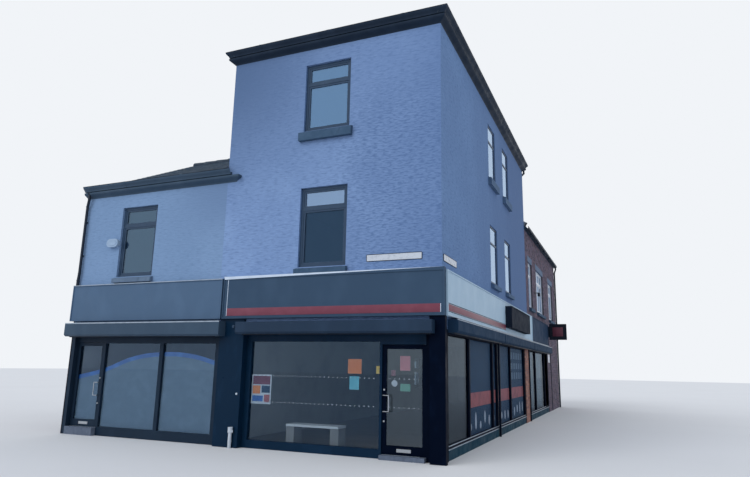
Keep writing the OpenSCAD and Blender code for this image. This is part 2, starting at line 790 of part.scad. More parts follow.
// Lets a downpipe through the moulding
module outlet_notch(x, z) {
    translate([x, -outlet_out, z - bed_drop - past])
        cylinder(h = gutter_lift + bed_drop + past, r = pipe_r, $fn = 32);
    block([x - pipe_r, -bed_out - past, z - bed_drop - past],
        [x + pipe_r, -outlet_out, z + gutter_lift]);
}
module corner_cornice() {
    color("#23262b") difference() {
        mitred_block(eaves_outline);
        mitred_block(eaves_back);
        difference() {
            mitred_block(concat([[lip_out - gutter_t, gutter_top + past]],
                trough_outline));
            block([-corner_w - board_out, -board_out, corner_top],
                [board_out, corner_d + board_out, corner_top + eaves_edge]);
        }
        on_corner_rear() outlet_notch(-corner_pipe_past, corner_top);
    }
}
wing_pipe_x = wing_pipe_at - front_l;
wing_outlet_x = wing_pipe_x + 2 * pipe_r;
module wing_gutters() {
    bed_end = bed_lap - corner_w;
    color("#23262b") {
        difference() {
            eaves_run(-front_l - gutter_past, gutter_lap - corner_w, wing_top,
                eaves_section);
            outlet_notch(wing_outlet_x, wing_top);
        }
        // the moulding runs on over the corner block and returns to its wall
        intersection() {
            eaves_run(-corner_w, bed_end + bed_out, wing_top,
                concat(bed_outline, [[0, bed_top + bed_lip]]));
            along_y(-bed_out, 0, concat(
                [for (p = bed_outline) [bed_end + p[0], wing_top + p[1]]],
                [[-corner_w, wing_top + bed_top + bed_lip],
                    [-corner_w, wing_top - bed_drop]]));
        }
        translate([0, wing_d, 0]) mirror([0, 1, 0])
            eaves_run(-front_l - gutter_past, -corner_w, wing_top, eaves_section);
    }
}
module extension_gutters() {
    color("#23262b") {
        on_side() eaves_run(corner_d, street_l + eaves_out, extension_top,
            plain_section);
        on_yard_side() eaves_run(-street_l - eaves_out, -corner_d, extension_top,
            plain_section);
    }
}

// Floors
module ground_floor() {
    color("gray") {
        block([wall_t - corner_w, wall_t, 0], [-wall_t, street_l - wall_t, ground_floor_z]);
        block([end_wall_t - front_l, wall_t, 0], [-corner_w, wing_d - wall_t,
            wing_floor_z]);
    }
}
module first_floor() {
    color("tan") {
        block([wall_t - corner_w, wall_t, first_floor_z - floor_t],
            [-wall_t, corner_d - wall_t, first_floor_z]);
        block([wall_t - corner_w, corner_d, first_floor_z - floor_t],
            [-wall_t, street_l - wall_t, first_floor_z]);
        block([end_wall_t - front_l, wall_t, first_floor_z - floor_t],
            [-corner_w, wing_d - wall_t, first_floor_z]);
    }
}
module second_floor() {
    color("tan")
        block([wall_t - corner_w, wall_t, second_floor_z - floor_t],
            [-wall_t, corner_d - wall_t, second_floor_z]);
}

// Upper windows
module front_window_frames() {
    color("#2b2e33") for (w = concat(front_windows, wing_windows)) window_frame(w);
}
module side_window_frames() {
    color("#2b2e33") on_side() for (w = side_windows) window_frame(w);
}
module extension_window_frames() {
    color("white") on_side() for (w = extension_windows) window_frame(w);
}
module rear_window_frames() {
    color("white") {
        on_wing_back() for (w = wing_rear_windows) window_frame(w);
        on_yard_side() for (w = yard_windows) window_frame(w);
        on_gable() for (w = gable_windows) window_frame(w);
    }
}
module upper_window_glass() {
    color("lightblue", 0.5) {
        for (w = concat(front_windows, wing_windows)) window_glass(w);
        on_side() for (w = concat(side_windows, extension_windows)) window_glass(w);
        on_wing_back() for (w = wing_rear_windows) window_glass(w);
        on_yard_side() for (w = yard_windows) window_glass(w);
        on_gable() for (w = gable_windows) window_glass(w);
    }
}
module window_sills() {
    color("#3a3d42") {
        for (w = concat(front_windows, wing_windows)) window_sill(w);
        on_side() for (w = concat(side_windows, extension_windows)) window_sill(w);
        on_wing_back() for (w = wing_rear_windows) window_sill(w);
        on_yard_side() for (w = yard_windows) window_sill(w);
        on_gable() for (w = gable_windows) window_sill(w);
    }
}
module extension_lintels() {
    color("silver") on_side() for (w = extension_windows) window_lintel(w);
}

// Shopfront on the front street
module pilaster_face() {
    block([pilaster_x, -pilaster_out, 0], [shop_x, 0, fascia_z]);
}
module corner_pilaster() {
    color("#1b2836") {
        pilaster_face();
        block([pilaster_x, -past, 0], [shop_x, wall_t, shop_head]);
    }
}
// The corner post carries the walls above, has a casing that runs up to the fascias,
// and ends in the jamb beside the door
module post_casing() {
    linear_extrude(fascia_z) polygon([[post_x, 0], [post_x, -post_out],
        [post_out, -post_out], [post_out, casing_back], [0, casing_back], [0, 0]]);
}
module corner_post() {
    color("#141c28") {
        post_casing();
        linear_extrude(shop_head) polygon([[jamb_x, shop_recess],
            [post_x, shop_recess], [post_x, -past], [past, -past], [past, post_end],
            [-wall_t, post_end], [-wall_t, wall_t], [jamb_x, wall_t]]);
    }
}
// A glazed frame on a solid riser, from x0 to x1, with bars given as [start, width]
module shop_frame(x0, x1, z0, z1, left, right, bars) {
    y0 = shop_recess;
    y1 = shop_recess + shop_frame_d;
    difference() {
        union() {
            block([x0, y0, 0], [x1, y1, z1 + shop_frame_w]);
            block([x0, y0 + past, 0], [x1, wall_t, z0 - past]);
        }
        shop_panes(x0, x1, z0, z1, left, right, bars, y0 - past, y1 + past);
    }
}
module shop_panes(x0, x1, z0, z1, left, right, bars, y0, y1) {
    starts = concat([x0 + left], [for (b = bars) b[0] + b[1]]);
    ends = concat([for (b = bars) b[0]], [x1 - right]);
    for (i = [0:len(starts) - 1])
        block([starts[i], y0, z0], [ends[i], y1, z1]);
}
module shop_window_frame() {
    color("#1b2836")
        shop_frame(shop_x, door_bar_x + door_bar, shop_glass_z, shop_glass_top,
            shop_stile_w, door_bar, []);
}
wing_bars = [[wing_mullion_x, wing_mullion_w]];
module wing_shop_frame() {
    color("#27303a")
        shop_frame(wing_bar_x, pilaster_x, wing_glass_z, wing_glass_top,
            door_bar, wing_stile_w, wing_bars);
}
module shop_window_glass() {
    y0 = shop_recess + (shop_frame_d - shop_pane_t) / 2;
    y1 = y0 + shop_pane_t;
    color("lightblue", 0.4) {
        shop_panes(shop_x, door_bar_x + door_bar, shop_glass_z, shop_glass_top,
            shop_stile_w, door_bar, [], y0, y1);
        shop_panes(wing_bar_x, pilaster_x, wing_glass_z, wing_glass_top,
            door_bar, wing_stile_w, wing_bars, y0, y1);
    }
}
// Boards that close the shopfronts up to the walls above, and head the doors
module front_headers() {
    y0 = shop_recess;
    y1 = shop_recess + shop_frame_d;
    color("#1b2836") {
        along_y(y0, y1, [[shop_x, shop_head], [shop_x, shop_glass_top + shop_frame_w],
            [door_bar_x + door_bar, shop_glass_top + shop_frame_w],
            [door_bar_x + door_bar, door_head], [jamb_x, door_head],
            [jamb_x, shop_head]]);
        along_y(y0, y1, [[-front_l + wing_post_w, shop_head],
            [-front_l + wing_post_w, wing_door_head], [wing_bar_x, wing_door_head],
            [wing_bar_x, wing_glass_top + shop_frame_w],
            [pilaster_x, wing_glass_top + shop_frame_w], [pilaster_x, shop_head]]);
    }
}
module wing_post() {
    color("#27303a")
        block([-front_l, 0, 0], [-front_l + wing_post_w, wall_t, shop_head]);
}

// Side shopfront, with the corner shop's bars and the extension's
side_bars = [for (u = [side_bar_1, side_bar_2, side_bar_3, side_bar_4])
    [u, side_bar_w]];
extension_bars = [[corner_d + extension_bar, side_bar_w]];
module side_panes(y0, y1) {
    shop_panes(post_end, pier_y, side_glass_z, side_glass_top, shop_frame_w,
        side_bar_w, side_bars, y0, y1);
    shop_panes(corner_d, extension_shop_end, side_glass_z, side_glass_top,
        shop_frame_w, end_panel_w, extension_bars, y0, y1);
}
module side_shop_frame() {
    y1 = side_recess + shop_frame_d;
    color("#141c28") on_side() difference() {
        for (run = [[post_end, pier_y], [corner_d, extension_shop_end]])
            block([run[0], side_recess, side_glass_z - shop_frame_w],
                [run[1], y1, shop_head]);
        side_panes(side_recess - past, y1 + past);
    }
}
module side_shop_glass() {
    y0 = side_recess + (shop_frame_d - shop_pane_t) / 2;
    color("lightblue", 0.4) on_side() side_panes(y0, y0 + shop_pane_t);
}
module side_stall_riser() {
    top = side_glass_z - shop_frame_w;
    color("#1c3a44") on_side()
        for (run = [[post_end, pier_y], [corner_d, extension_shop_end]])
            along_x(run[0], run[1], [[side_recess, 0], [wall_t, 0], [wall_t, top],
                [side_recess - stall_sill_out, top],
                [side_recess - stall_sill_out, top - stall_sill_t],
                [side_recess, top - stall_sill_t]]);
}
module side_brick_pier() {
    color("peru") on_side() block([pier_y, 0, 0], [corner_d, wall_t, shop_head]);
}

// Fascias, each a shallow sign tray, and the shutter boxes under them
module tray(x0, x1, z0, z1, d) {
    difference() {
        block([x0, -d, z0], [x1, 0, z1]);
        block([x0 + tray_rim, -d - past, z0 + tray_rim],
            [x1 - tray_rim, tray_in - d, z1 - tray_rim]);
    }
}
module front_fascia() {
    x0 = fascia_in - corner_w;
    color("#2a2c30") tray(x0, post_out, fascia_z, fascia_z + fascia_h, fascia_d);
    color("white") block([x0, -fascia_d, fascia_z + fascia_h],
        [post_out, 0, fascia_z + fascia_h + strip_h]);
}
module wing_fascia() {
    color("#48525c") tray(-front_l - fascia_past, fascia_in - corner_w - fascia_joint,
        fascia_z, fascia_z + fascia_h, fascia_d);
}
// The side fascia stops behind the front one; its pale tray carries a bare light box
side_fascia_end = corner_d + side_fascia_past;
module side_fascia() {
    face = -fascia_d - light_box_out;
    z0 = fascia_z + light_box_lift;
    x1 = light_box_at + light_box_l;
    color("lightgray") on_side() {
        tray(0, side_fascia_end, fascia_z, fascia_z + fascia_h, fascia_d);
        difference() {
            block([light_box_at, face, z0], [x1, tray_in - fascia_d, z0 + light_box_h]);
            block([light_box_at + light_box_rim, face - past, z0 + light_box_rim],
                [x1 - light_box_rim, face + light_box_in,
                    z0 + light_box_h - light_box_rim]);
        }
    }
}
module extension_fascia() {
    color("#2a2c30") on_side() tray(side_fascia_end,
        extension_shop_end - extension_fascia_short, fascia_z, fascia_z + fascia_h,
        fascia_d);
}
module shutter_box(x0, x1, z, h, d) {
    // the underside slopes up towards the street, as a rolled steel hood's does
    along_x(x0, x1, [[0, z], [box_slope - d, z], [-d, z + box_slope],
        [-d, z + h - box_bevel], [box_bevel - d, z + h], [0, z + h]]);
}
module front_shutter_boxes() {
    color("#1b2836") difference() {
        union() {
            shutter_box(shop_x - box_lap, -box_short, box_z, box_h, box_d);
            shutter_box(wing_box_in - front_l, pilaster_x + wing_box_lap,
                box_z - wing_box_drop, box_h + wing_box_more, box_d);
        }
        // both boxes are cut to fit round the pilaster and the corner post
        pilaster_face();
        post_casing();
    }
}
guide_ys = [side_bar_3 + guide_past_bar, corner_d - guide_before_end];
module side_shutter_boxes() {
    ends = [post_end, guide_ys[0], guide_ys[1], extension_shop_end];
    color("#5c6b6e") on_side() for (i = [0:2])
        shutter_box(ends[i] + (i == 0 ? 0 : guide_w), ends[i + 1], side_box_z,
            side_box_h, side_box_d);
}
module shutter_guides() {
    color("#141c28") on_side() for (u = guide_ys)
        block([u, -guide_d, 0], [u + guide_w, 0, fascia_z]);
}
module projecting_sign() {
    u = extension_shop_end - sign_at;
    z = fascia_z + sign_lift;
    color("#22262c") on_side() {
        block([u, -sign_arm - sign_w, z], [u + sign_t, -sign_arm, z + sign_h]);
        block([u + sign_t / 3, -sign_arm, z + sign_arm_in],
            [u + sign_t * 2 / 3, 0, z + sign_h - sign_arm_in]);
    }
}
module street_name_plates() {
    color("white") {
        block([-plate_gap - plate_l, -plate_t, plate_z], [-plate_gap, 0,
            plate_z + plate_h]);
        on_side() block([side_plate_gap, -plate_t, side_plate_z],
            [side_plate_gap + side_plate_l, 0, side_plate_z + plate_h]);
    }
}

// A round bar or pipe through a list of points, with a ball at each bend
module pipe_run(points, r, bend_r) {
    for (i = [0:len(points) - 2]) {
        d = points[i + 1] - points[i];
        translate(points[i]) rotate([0, acos(d[2] / norm(d)), atan2(d[1], d[0])])
            cylinder(h = norm(d), r = r, $fn = 32);
    }
    for (i = [1:len(points) - 2]) translate(points[i]) sphere(r = bend_r, $fn = 32);
}
// Clips that hold a pipe to the wall, spaced evenly between two levels
module pipe_clips(x, z0, z1, count) {
    for (i = [0:count - 1]) {
        z = z0 + (z1 - z0) * (i + 0.5) / count;
        block([x - pipe_r / 2, -pipe_out, z], [x + pipe_r / 2, 0, z + clip_h]);
    }
}
module downpipes() {
    wing_neck_z = wing_top - neck_drop - neck_h;
    corner_neck_z = corner_top - neck_drop - corner_pipe_in - corner_pipe_past;
    far_neck_z = extension_top - neck_drop - neck_h;
    far_pipe_x = street_l - far_pipe_in;
    plain_outlet_y = -board_out - plain_gutter_w / 2;
    roof_z = extension_top + extension_edge
        + (eaves_out + corner_pipe_in) * tan(extension_pitch);
    bend_r = pipe_r + pipe_socket;
    color("#23262b") {
        pipe_run([[wing_outlet_x, -outlet_out, wing_top + gutter_lift],
            [wing_outlet_x, -outlet_out, wing_top - neck_drop],
            [wing_pipe_x, -pipe_out, wing_neck_z],
            [wing_pipe_x, -pipe_out, wing_pipe_z],
            [wing_pipe_x - pipe_lean, -pipe_out, wing_pipe_z - neck_h],
            [wing_pipe_x - pipe_lean, -pipe_out, fascia_z + fascia_h]], pipe_r, bend_r);
        pipe_clips(wing_pipe_x, wing_pipe_z, wing_neck_z, 2);
        on_corner_rear() {
            pipe_run([[-corner_pipe_past, -outlet_out, corner_top + gutter_lift],
                [-corner_pipe_past, -outlet_out, corner_top - neck_drop],
                [corner_pipe_in, -pipe_out, corner_neck_z],
                [corner_pipe_in, -pipe_out, roof_z + roof_gap]], pipe_r, bend_r);
            pipe_clips(corner_pipe_in, roof_z + roof_gap, corner_neck_z, 1);
        }
        on_side() {
            pipe_run([[far_pipe_x, plain_outlet_y, extension_top + plain_gutter_lift],
                [far_pipe_x, plain_outlet_y, extension_top - neck_drop],
                [far_pipe_x, -pipe_out, far_neck_z],
                [far_pipe_x, -pipe_out, 0]], pipe_r, bend_r);
            pipe_clips(far_pipe_x, 0, far_neck_z, 3);
        }
    }
}
// The waste pipe has an open socket on top and a small branch beside it
module waste_pipe() {
    color("gainsboro") translate([pilaster_x + waste_at, -pilaster_out - socket_r, 0]) {
        cylinder(h = waste_h - socket_h, r = waste_r, $fn = 48);
        translate([0, 0, waste_h - socket_h]) {
            difference() {
                cylinder(h = socket_h, r = socket_r, $fn = 48);
                translate([0, 0, socket_h - socket_in])
                    cylinder(h = socket_in + past, r = socket_r - waste_t, $fn = 48);
            }
            translate([socket_r, 0, 0])
                cylinder(h = socket_h - socket_in, r = branch_r, $fn = 32);
        }
    }
}
module alarm_box() {
    color("white") translate([alarm_at - front_l, 0, alarm_z]) rotate([90, 0, 0])
        linear_extrude(alarm_d) union() {
            square([alarm_w - alarm_h, alarm_h], center = true);
            for (s = [-1, 1]) translate([s * (alarm_w - alarm_h) / 2, 0])
                circle(d = alarm_h, $fn = 48);
        }
}
module door_steps() {
    color("lightgray") {
        block([door_bar_x + door_bar, -step_out, 0], [jamb_x, wall_t, ground_floor_z]);
        block([-front_l + wing_post_w, -step_out, 0],
            [wing_bar_x, wall_t, wing_floor_z]);
    }
}
module window_bench() {
    x0 = shop_x + bench_at;
    y0 = wall_t + bench_gap;
    z0 = ground_floor_z;
    top_z = z0 + bench_h - bench_top_t;
    color("gainsboro") {
        block([x0, y0, top_z], [x0 + bench_l, y0 + bench_d, z0 + bench_h]);
        for (x = [x0, x0 + bench_l - bench_end_w])
            block([x, y0 + bench_in, z0], [x + bench_end_w, y0 + bench_d - bench_in,
                top_z]);
    }
}

// Doors: an aluminium leaf with its glass and fittings. Each turns on three hinges
// inside the shop. Their end knuckles sit on the jamb and the middle one on the leaf.
hinge_y = leaf_y + leaf_t + knuckle_r;
corner_hinge_x = jamb_x - knuckle_r - 1;
wing_hinge_x = -front_l + wing_post_w + knuckle_r + 1;
corner_leaf = [door_x, door_w, ground_floor_z + door_gap, door_head - door_gap];
wing_leaf = [wing_door_x, wing_door_w, wing_floor_z + door_gap,
    wing_door_head - door_gap];
// A leaf is [x, width, foot, top]
function hinge_zs(d) = [d[2] + low_hinge_z, d[2] + middle_hinge_z,
    d[3] - top_hinge_drop];
// side is 1 where the jamb lies in +x from the hinge, and -1 where it lies in -x
module jamb_knuckles(d, x, side) {
    for (z = hinge_zs(d), end = [-1, 1]) translate([x, hinge_y,
            z + end * (knuckle_l + hinge_play) - knuckle_l / 2]) {
        cylinder(h = knuckle_l, r = knuckle_r, $fn = 24);
        translate([side > 0 ? 0 : -knuckle_r - 1, -flap_t / 2, 0])
            cube([knuckle_r + 1, flap_t, knuckle_l]);
    }
}
module leaf_knuckles(d, x, side) {
    for (z = hinge_zs(d)) translate([x, hinge_y, z - knuckle_l / 2]) {
        cylinder(h = knuckle_l, r = knuckle_r, $fn = 24);
        translate([side > 0 ? -3 * knuckle_r : 0, -knuckle_r, 0])
            cube([3 * knuckle_r, flap_t, knuckle_l]);
    }
}
module door_hinges() {
    color("silver") {
        jamb_knuckles(corner_leaf, corner_hinge_x, 1);
        jamb_knuckles(wing_leaf, wing_hinge_x, -1);
    }
}
module leaf(d) {
    difference() {
        block([d[0], leaf_y, d[2]], [d[0] + d[1], leaf_y + leaf_t, d[3]]);
        leaf_pane(d, leaf_t + 2 * past);
    }
}
module leaf_pane(d, t) {
    middle = leaf_y + leaf_t / 2;
    block([d[0] + leaf_stile, middle - t / 2, d[2] + leaf_rail],
        [d[0] + d[1] - leaf_stile, middle + t / 2, d[3] - leaf_stile]);
}
// A cranked pull, a letter plate and two lock cylinders, on the street face. The grip
// is set over to the side that crank gives, so that it hangs in front of the glass.
module fittings(d, pull_x, z0, crank) {
    face = leaf_y;
    z1 = z0 + pull_l;
    low = z0 + pull_r;
    high = z1 - pull_r;
    grip_x = pull_x + crank * pull_crank;
    plate_x = d[0] + d[1] / 2;
    plate_mid = d[2] + leaf_rail / 2;
    pipe_run([[pull_x, face, low], [pull_x, face - pull_out, low],
        [grip_x, face - pull_out, low], [grip_x, face - pull_out, high],
        [pull_x, face - pull_out, high], [pull_x, face, high]], pull_r, pull_r);
    block([plate_x - letter_w / 2, face - letter_t, plate_mid - letter_h / 2],
        [plate_x + letter_w / 2, face, plate_mid + letter_h / 2]);
    for (z = [z0 - low_lock_gap, z1 + lock_gap])
        translate([pull_x, face, z]) rotate([90, 0, 0])
            cylinder(h = lock_out, r = lock_r, $fn = 32);
}
module corner_door_leaf() {
    color("#141c28") leaf(corner_leaf);
}
module corner_door_glass() {
    color("lightblue", 0.4) leaf_pane(corner_leaf, shop_pane_t);
}
module corner_door_fittings() {
    color("silver") {
        fittings(corner_leaf, door_x + leaf_stile / 2, pull_z, 1);
        leaf_knuckles(corner_leaf, corner_hinge_x, 1);
    }
}
module wing_door_leaf() {
    color("#27303a") leaf(wing_leaf);
}
module wing_door_glass() {
    color("lightblue", 0.4) leaf_pane(wing_leaf, shop_pane_t);
}
module wing_door_fittings() {
    color("silver") {
        fittings(wing_leaf, wing_door_x + wing_door_w - leaf_stile / 2,
            pull_z + wing_pull_lift, -1);
        leaf_knuckles(wing_leaf, wing_hinge_x, -1);
    }
}

corner_front_wall();
corner_side_wall();
corner_rear_wall();
dividing_wall();
wing_front_wall();
wing_rear_wall();
wing_end_wall();
extension_street_wall();
extension_yard_wall();
extension_gable_wall();
corner_roof();
wing_roof();
extension_roof();
corner_cornice();
wing_gutters();
extension_gutters();
ground_floor();
first_floor();
second_floor();
front_window_frames();
side_window_frames();
extension_window_frames();
rear_window_frames();
upper_window_glass();
window_sills();
extension_lintels();
corner_pilaster();
corner_post();
shop_window_frame();
shop_window_glass();
front_headers();
wing_post();
wing_shop_frame();
side_shop_frame();
side_shop_glass();
side_stall_riser();
side_brick_pier();
front_fascia();
wing_fascia();
side_fascia();
extension_fascia();
front_shutter_boxes();
side_shutter_boxes();
shutter_guides();
projecting_sign();
street_name_plates();
downpipes();
waste_pipe();
alarm_box();
door_steps();
window_bench();
door_hinges();
corner_door_leaf();
corner_door_glass();
corner_door_fittings();
wing_door_leaf();
wing_door_glass();
wing_door_fittings();
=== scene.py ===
import math

import bmesh
import bpy
from mathutils import Matrix, Vector


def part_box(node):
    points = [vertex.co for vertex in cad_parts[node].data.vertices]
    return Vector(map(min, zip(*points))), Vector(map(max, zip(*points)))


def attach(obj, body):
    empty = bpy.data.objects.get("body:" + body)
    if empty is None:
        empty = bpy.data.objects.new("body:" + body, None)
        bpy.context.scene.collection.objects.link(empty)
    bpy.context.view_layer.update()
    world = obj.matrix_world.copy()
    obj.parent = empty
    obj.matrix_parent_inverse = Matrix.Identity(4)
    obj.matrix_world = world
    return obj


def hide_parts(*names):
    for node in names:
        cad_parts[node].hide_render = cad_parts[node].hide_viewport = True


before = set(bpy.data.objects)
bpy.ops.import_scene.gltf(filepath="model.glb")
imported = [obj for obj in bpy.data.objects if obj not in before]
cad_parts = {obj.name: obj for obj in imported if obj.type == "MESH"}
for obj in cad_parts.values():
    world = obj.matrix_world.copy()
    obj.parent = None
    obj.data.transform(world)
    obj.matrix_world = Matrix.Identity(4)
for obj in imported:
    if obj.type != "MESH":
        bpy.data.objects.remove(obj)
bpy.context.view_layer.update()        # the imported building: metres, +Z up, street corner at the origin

scene = bpy.context.scene
scene.view_settings.view_transform = "Standard"

# Camera

viewpoint = {
    "place": (3.238, -10.991, 1.712),  # across the junction, at eye level
    "yaw": 22.969,                     # degrees, to the left
    "pitch": 12.17,                    # degrees, upwards
    "roll": 1.056,
    "lens": 28.565,                    # mm, on a sensor 36 mm wide
}


def addCamera():
    lens = bpy.data.cameras.new("streetCamera")
    lens.lens = viewpoint["lens"]
    lens.clip_end = 500
    camera = bpy.data.objects.new("streetCamera", lens)
    scene.collection.objects.link(camera)
    yaw, pitch, roll = (math.radians(viewpoint[angle]) for angle in ("yaw", "pitch", "roll"))
    camera.matrix_world = (Matrix.Translation(viewpoint["place"]) @ Matrix.Rotation(yaw, 4, "Z")
                           @ Matrix.Rotation(math.pi / 2 + pitch, 4, "X") @ Matrix.Rotation(roll, 4, "Z"))
    scene.camera = camera


addCamera()

# Material tools

even = (1, 1, 1)     # a pattern stretched along no axis


def hexColour(code):  # an sRGB hex value as linear light
    shares = [int(code[start:start + 2], 16) / 255 for start in (1, 3, 5)]
    return [s / 12.92 if s <= 0.04045 else ((s + 0.055) / 1.055) ** 2.4 for s in shares] + [1]


def addNode(tree, kind, values=None, links=None, **settings):
    node = tree.nodes.new("ShaderNode" + kind)
    for setting, value in settings.items():
        setattr(node, setting, value)
    for socket, value in (values or {}).items():
        node.inputs[socket].default_value = value
    for socket, source in (links or {}).items():
        tree.links.new(source, node.inputs[socket])
    return node


def newMaterial(name, colour, roughness, metallic=0.0, ior=1.5, specular=0.5, alpha=1.0):
    material = bpy.data.materials.new(name)
    material.use_nodes = True
    tree = material.node_tree
    shader = tree.nodes["Principled BSDF"]
    values = {"Base Color": hexColour(colour), "Roughness": roughness, "Metallic": metallic, "IOR": ior,
              "Specular IOR Level": specular, "Alpha": alpha}
    for socket, value in values.items():
        shader.inputs[socket].default_value = value
    return material, tree, shader, addNode(tree, "TexCoord").outputs["Object"]


def cloud(tree, place, sizeMm, low, high, stretch, detail):  # noise in patches of sizeMm, as 0 to 1
    spot = addNode(tree, "Mapping", {"Scale": stretch}, {"Vector": place}).outputs["Vector"]
    noise = addNode(tree, "TexNoise", {"Scale": 1000 / sizeMm, "Detail": detail}, {"Vector": spot})
    return addNode(tree, "MapRange", {"From Min": low, "From Max": high},
                   {"Value": noise.outputs["Fac"]}).outputs["Result"]


def product(tree, first, second):
    return addNode(tree, "Math", links={0: first, 1: second}, operation="MULTIPLY").outputs[0]


def band(tree, place, axis, start, end):  # 0 before start, 1 past end, along one axis in metres
    parts = addNode(tree, "SeparateXYZ", links={"Vector": place})
    return addNode(tree, "MapRange", {"From Min": start, "From Max": end},
                   {"Value": parts.outputs[axis]}, interpolation_type="SMOOTHSTEP").outputs["Result"]


def area(tree, place, bands):  # where several bands, each as axis, start and end, meet
    share = band(tree, place, *bands[0])
    for other in bands[1:]:
        share = product(tree, share, band(tree, place, *other))
    return share


def overlay(tree, shader, colour, share):  # another shade lies over the colour so far, by its share
    socket = shader.inputs["Base Color"]
    mix = addNode(tree, "MixRGB", {"Color1": socket.default_value, "Color2": hexColour(colour)},
                  {"Fac": share})
    if socket.is_linked:
        tree.links.new(socket.links[0].from_socket, mix.inputs["Color1"])
    tree.links.new(mix.outputs["Color"], socket)


def stain(tree, place, shader, colour, sizeMm, low, high, stretch=even, detail=3, bands=None):
    # another shade in patches of sizeMm, everywhere or where some bands meet
    share = cloud(tree, place, sizeMm, low, high, stretch, detail)
    overlay(tree, shader, colour, product(tree, share, area(tree, place, bands)) if bands else share)


def grain(tree, place, shader, sizeMm, depthMm, stretch=even, detail=2):
    # relief of depthMm between grains of sizeMm
    height = cloud(tree, place, sizeMm, 0.25, 0.75, stretch, detail)
    bump = addNode(tree, "Bump", {"Distance": depthMm / 1000}, {"Height": height})
    socket = shader.inputs["Normal"]
    if socket.is_linked:
        tree.links.new(socket.links[0].from_socket, bump.inputs["Normal"])
    tree.links.new(bump.outputs["Normal"], socket)


def uneven(tree, place, shader, sizeMm, smooth, rough):  # roughness that wanders between two values
    share = cloud(tree, place, sizeMm, 0.3, 0.7, even, 3)
    span = addNode(tree, "MapRange", {"To Min": smooth, "To Max": rough}, {"Value": share})
    tree.links.new(span.outputs["Result"], shader.inputs["Roughness"])


def toneShades(tree, shader, shades):  # each brick or slate takes a shade by its own tone
    tone = addNode(tree, "Attribute", attribute_name="tone").outputs["Fac"]
    colour = hexColour(shades[0])
    source = None
    for number, shade in enumerate(shades[1:], 1):
        edge = number / len(shades)
        share = addNode(tree, "MapRange", {"From Min": edge - 0.02, "From Max": edge + 0.02},
                        {"Value": tone}).outputs["Result"]
        mix = addNode(tree, "MixRGB", {"Color1": colour, "Color2": hexColour(shade)}, {"Fac": share})
        if source is not None:
            tree.links.new(source, mix.inputs["Color1"])
        source = mix.outputs["Color"]
    tree.links.new(source, shader.inputs["Base Color"])


def surface(name, colour, roughness, stains, grains, wander=None, tones=None, shades=(), **shading):
    # stains: colour, size in mm, low and high share, then stretch, detail and bands where they differ
    # grains: size and depth in mm, then stretch and detail; wander: size in mm and two roughnesses
    # tones: shades of the single bricks or slates; shades: darker colours of painted shade, with the bands
    # over which each comes in
    material, tree, shader, place = newMaterial(name, colour, roughness, **shading)
    if tones:
        toneShades(tree, shader, tones)
    for values in stains:
        stain(tree, place, shader, *values)
    for shade, *bands in shades:
        overlay(tree, shader, shade, area(tree, place, bands))
    for values in grains:
        grain(tree, place, shader, *values)
    if wander:
        uneven(tree, place, shader, *wander)
    return material


# Materials


def masonryPaint(name, colour, pale, dark, shades, rough=None):
    # masonry paint rolled over sand and cement render: matt, faintly lumpy, with soft weather marks
    # rough has the bands over which the float's strokes stand out more
    # shades lay darker colours over set bands of a wall: painted shade
    dashes = (0.34, 0.34, 1.3)  # strokes of the float, drawn coarse so that they show
    stains = [(pale, 1500, 0.45, 0.9), (dark, 2300, 0.52, 1.0, (1, 1, 0.7)),
              (dark, 52, 0.48, 0.88, dashes, 2), (pale, 44, 0.52, 0.95, dashes, 2)]
    if rough:
        stains.append((dark, 40, 0.46, 0.66, dashes, 2, rough))
    grains = [(48, 3.5, dashes, 3), (300, 4, even, 1)]
    return surface(name, colour, 0.9, stains, grains, shades=shades, specular=0.2)


# the front wall is darker towards its top left and towards the corner: painted shade
frontRender = masonryPaint("masonryPaintFront", "#7691BC", "#88A4CE", "#5B759E", [
    ("#566E93", ("X", -0.8, -5.4), ("Z", 4.6, 8.6)), ("#546F9B", ("X", -3.4, 3.0))],
    [("X", -3.4, -1.2), ("Z", 8.6, 6.6)])
# the side street wall is a darker copy of the same paint, darker still from 1 m to 9 m up the street: painted
# shade
sideShadedRender = masonryPaint("masonryPaintSideShaded", "#6482AD", "#7090BC", "#506C97", [("#57719A", ("Y", 1.0, 9.0))])
# the wing wall is darker towards the corner block across its upper floor: painted shade
wingRender = masonryPaint("masonryPaintWing", "#7692B6", "#7F9BC0", "#6783A6", [
    ("#6A84A8", ("X", -7.5, -5.2), ("Z", 4.0, 5.8))])


def claySurface(name, shades, sizeMm):
    # common brick, wire cut and fired: matt, gritty, each brick its own shade
    return surface(name, shades[0], 0.92, [(shades[-1], sizeMm, 0.50, 0.85)], [(14, 1.5, even, 4)],
                   tones=shades, specular=0.2)


facingBrick = claySurface("firedClayBrick", ["#60586A", "#534B5A", "#6C6072", "#494351", "#655560"], 60)
# the pier has the same clay brick drawn paler and warmer: painted sunlight
sunlitPierBrick = claySurface("sunlitPierClayBrick", ["#9C7468", "#8E685E", "#A98073", "#7F5E58"], 50)

# lime and sand mortar, raked and weathered: pale, rough
mortar = surface("limeMortar", "#7E828E", 0.95, [("#696C78", 180, 0.4, 0.7)], [(9, 1.2, even, 4)],
                 specular=0.1)

# natural slate, riven: blue-grey, a low sheen, each slate its own shade, with thin lichen
roofSlate = surface("splitSlate", "#34475A", 0.6, [("#485860", 320, 0.62, 0.95)], [(55, 1.6, (1, 1, 0.5), 4)],
                    (120, 0.45, 0.7), ["#34475A", "#2D3E50", "#3C4F62", "#314452", "#425466"],
                    ior=1.55, specular=0.06)

# blue-black clay ridge tiles bedded in mortar: matt, dusty
ridgeClay = surface("clayRidgeTile", "#3A4552", 0.8, [("#4E5964", 140, 0.5, 0.75)], [(25, 1.5, even, 3)],
                    specular=0.1)

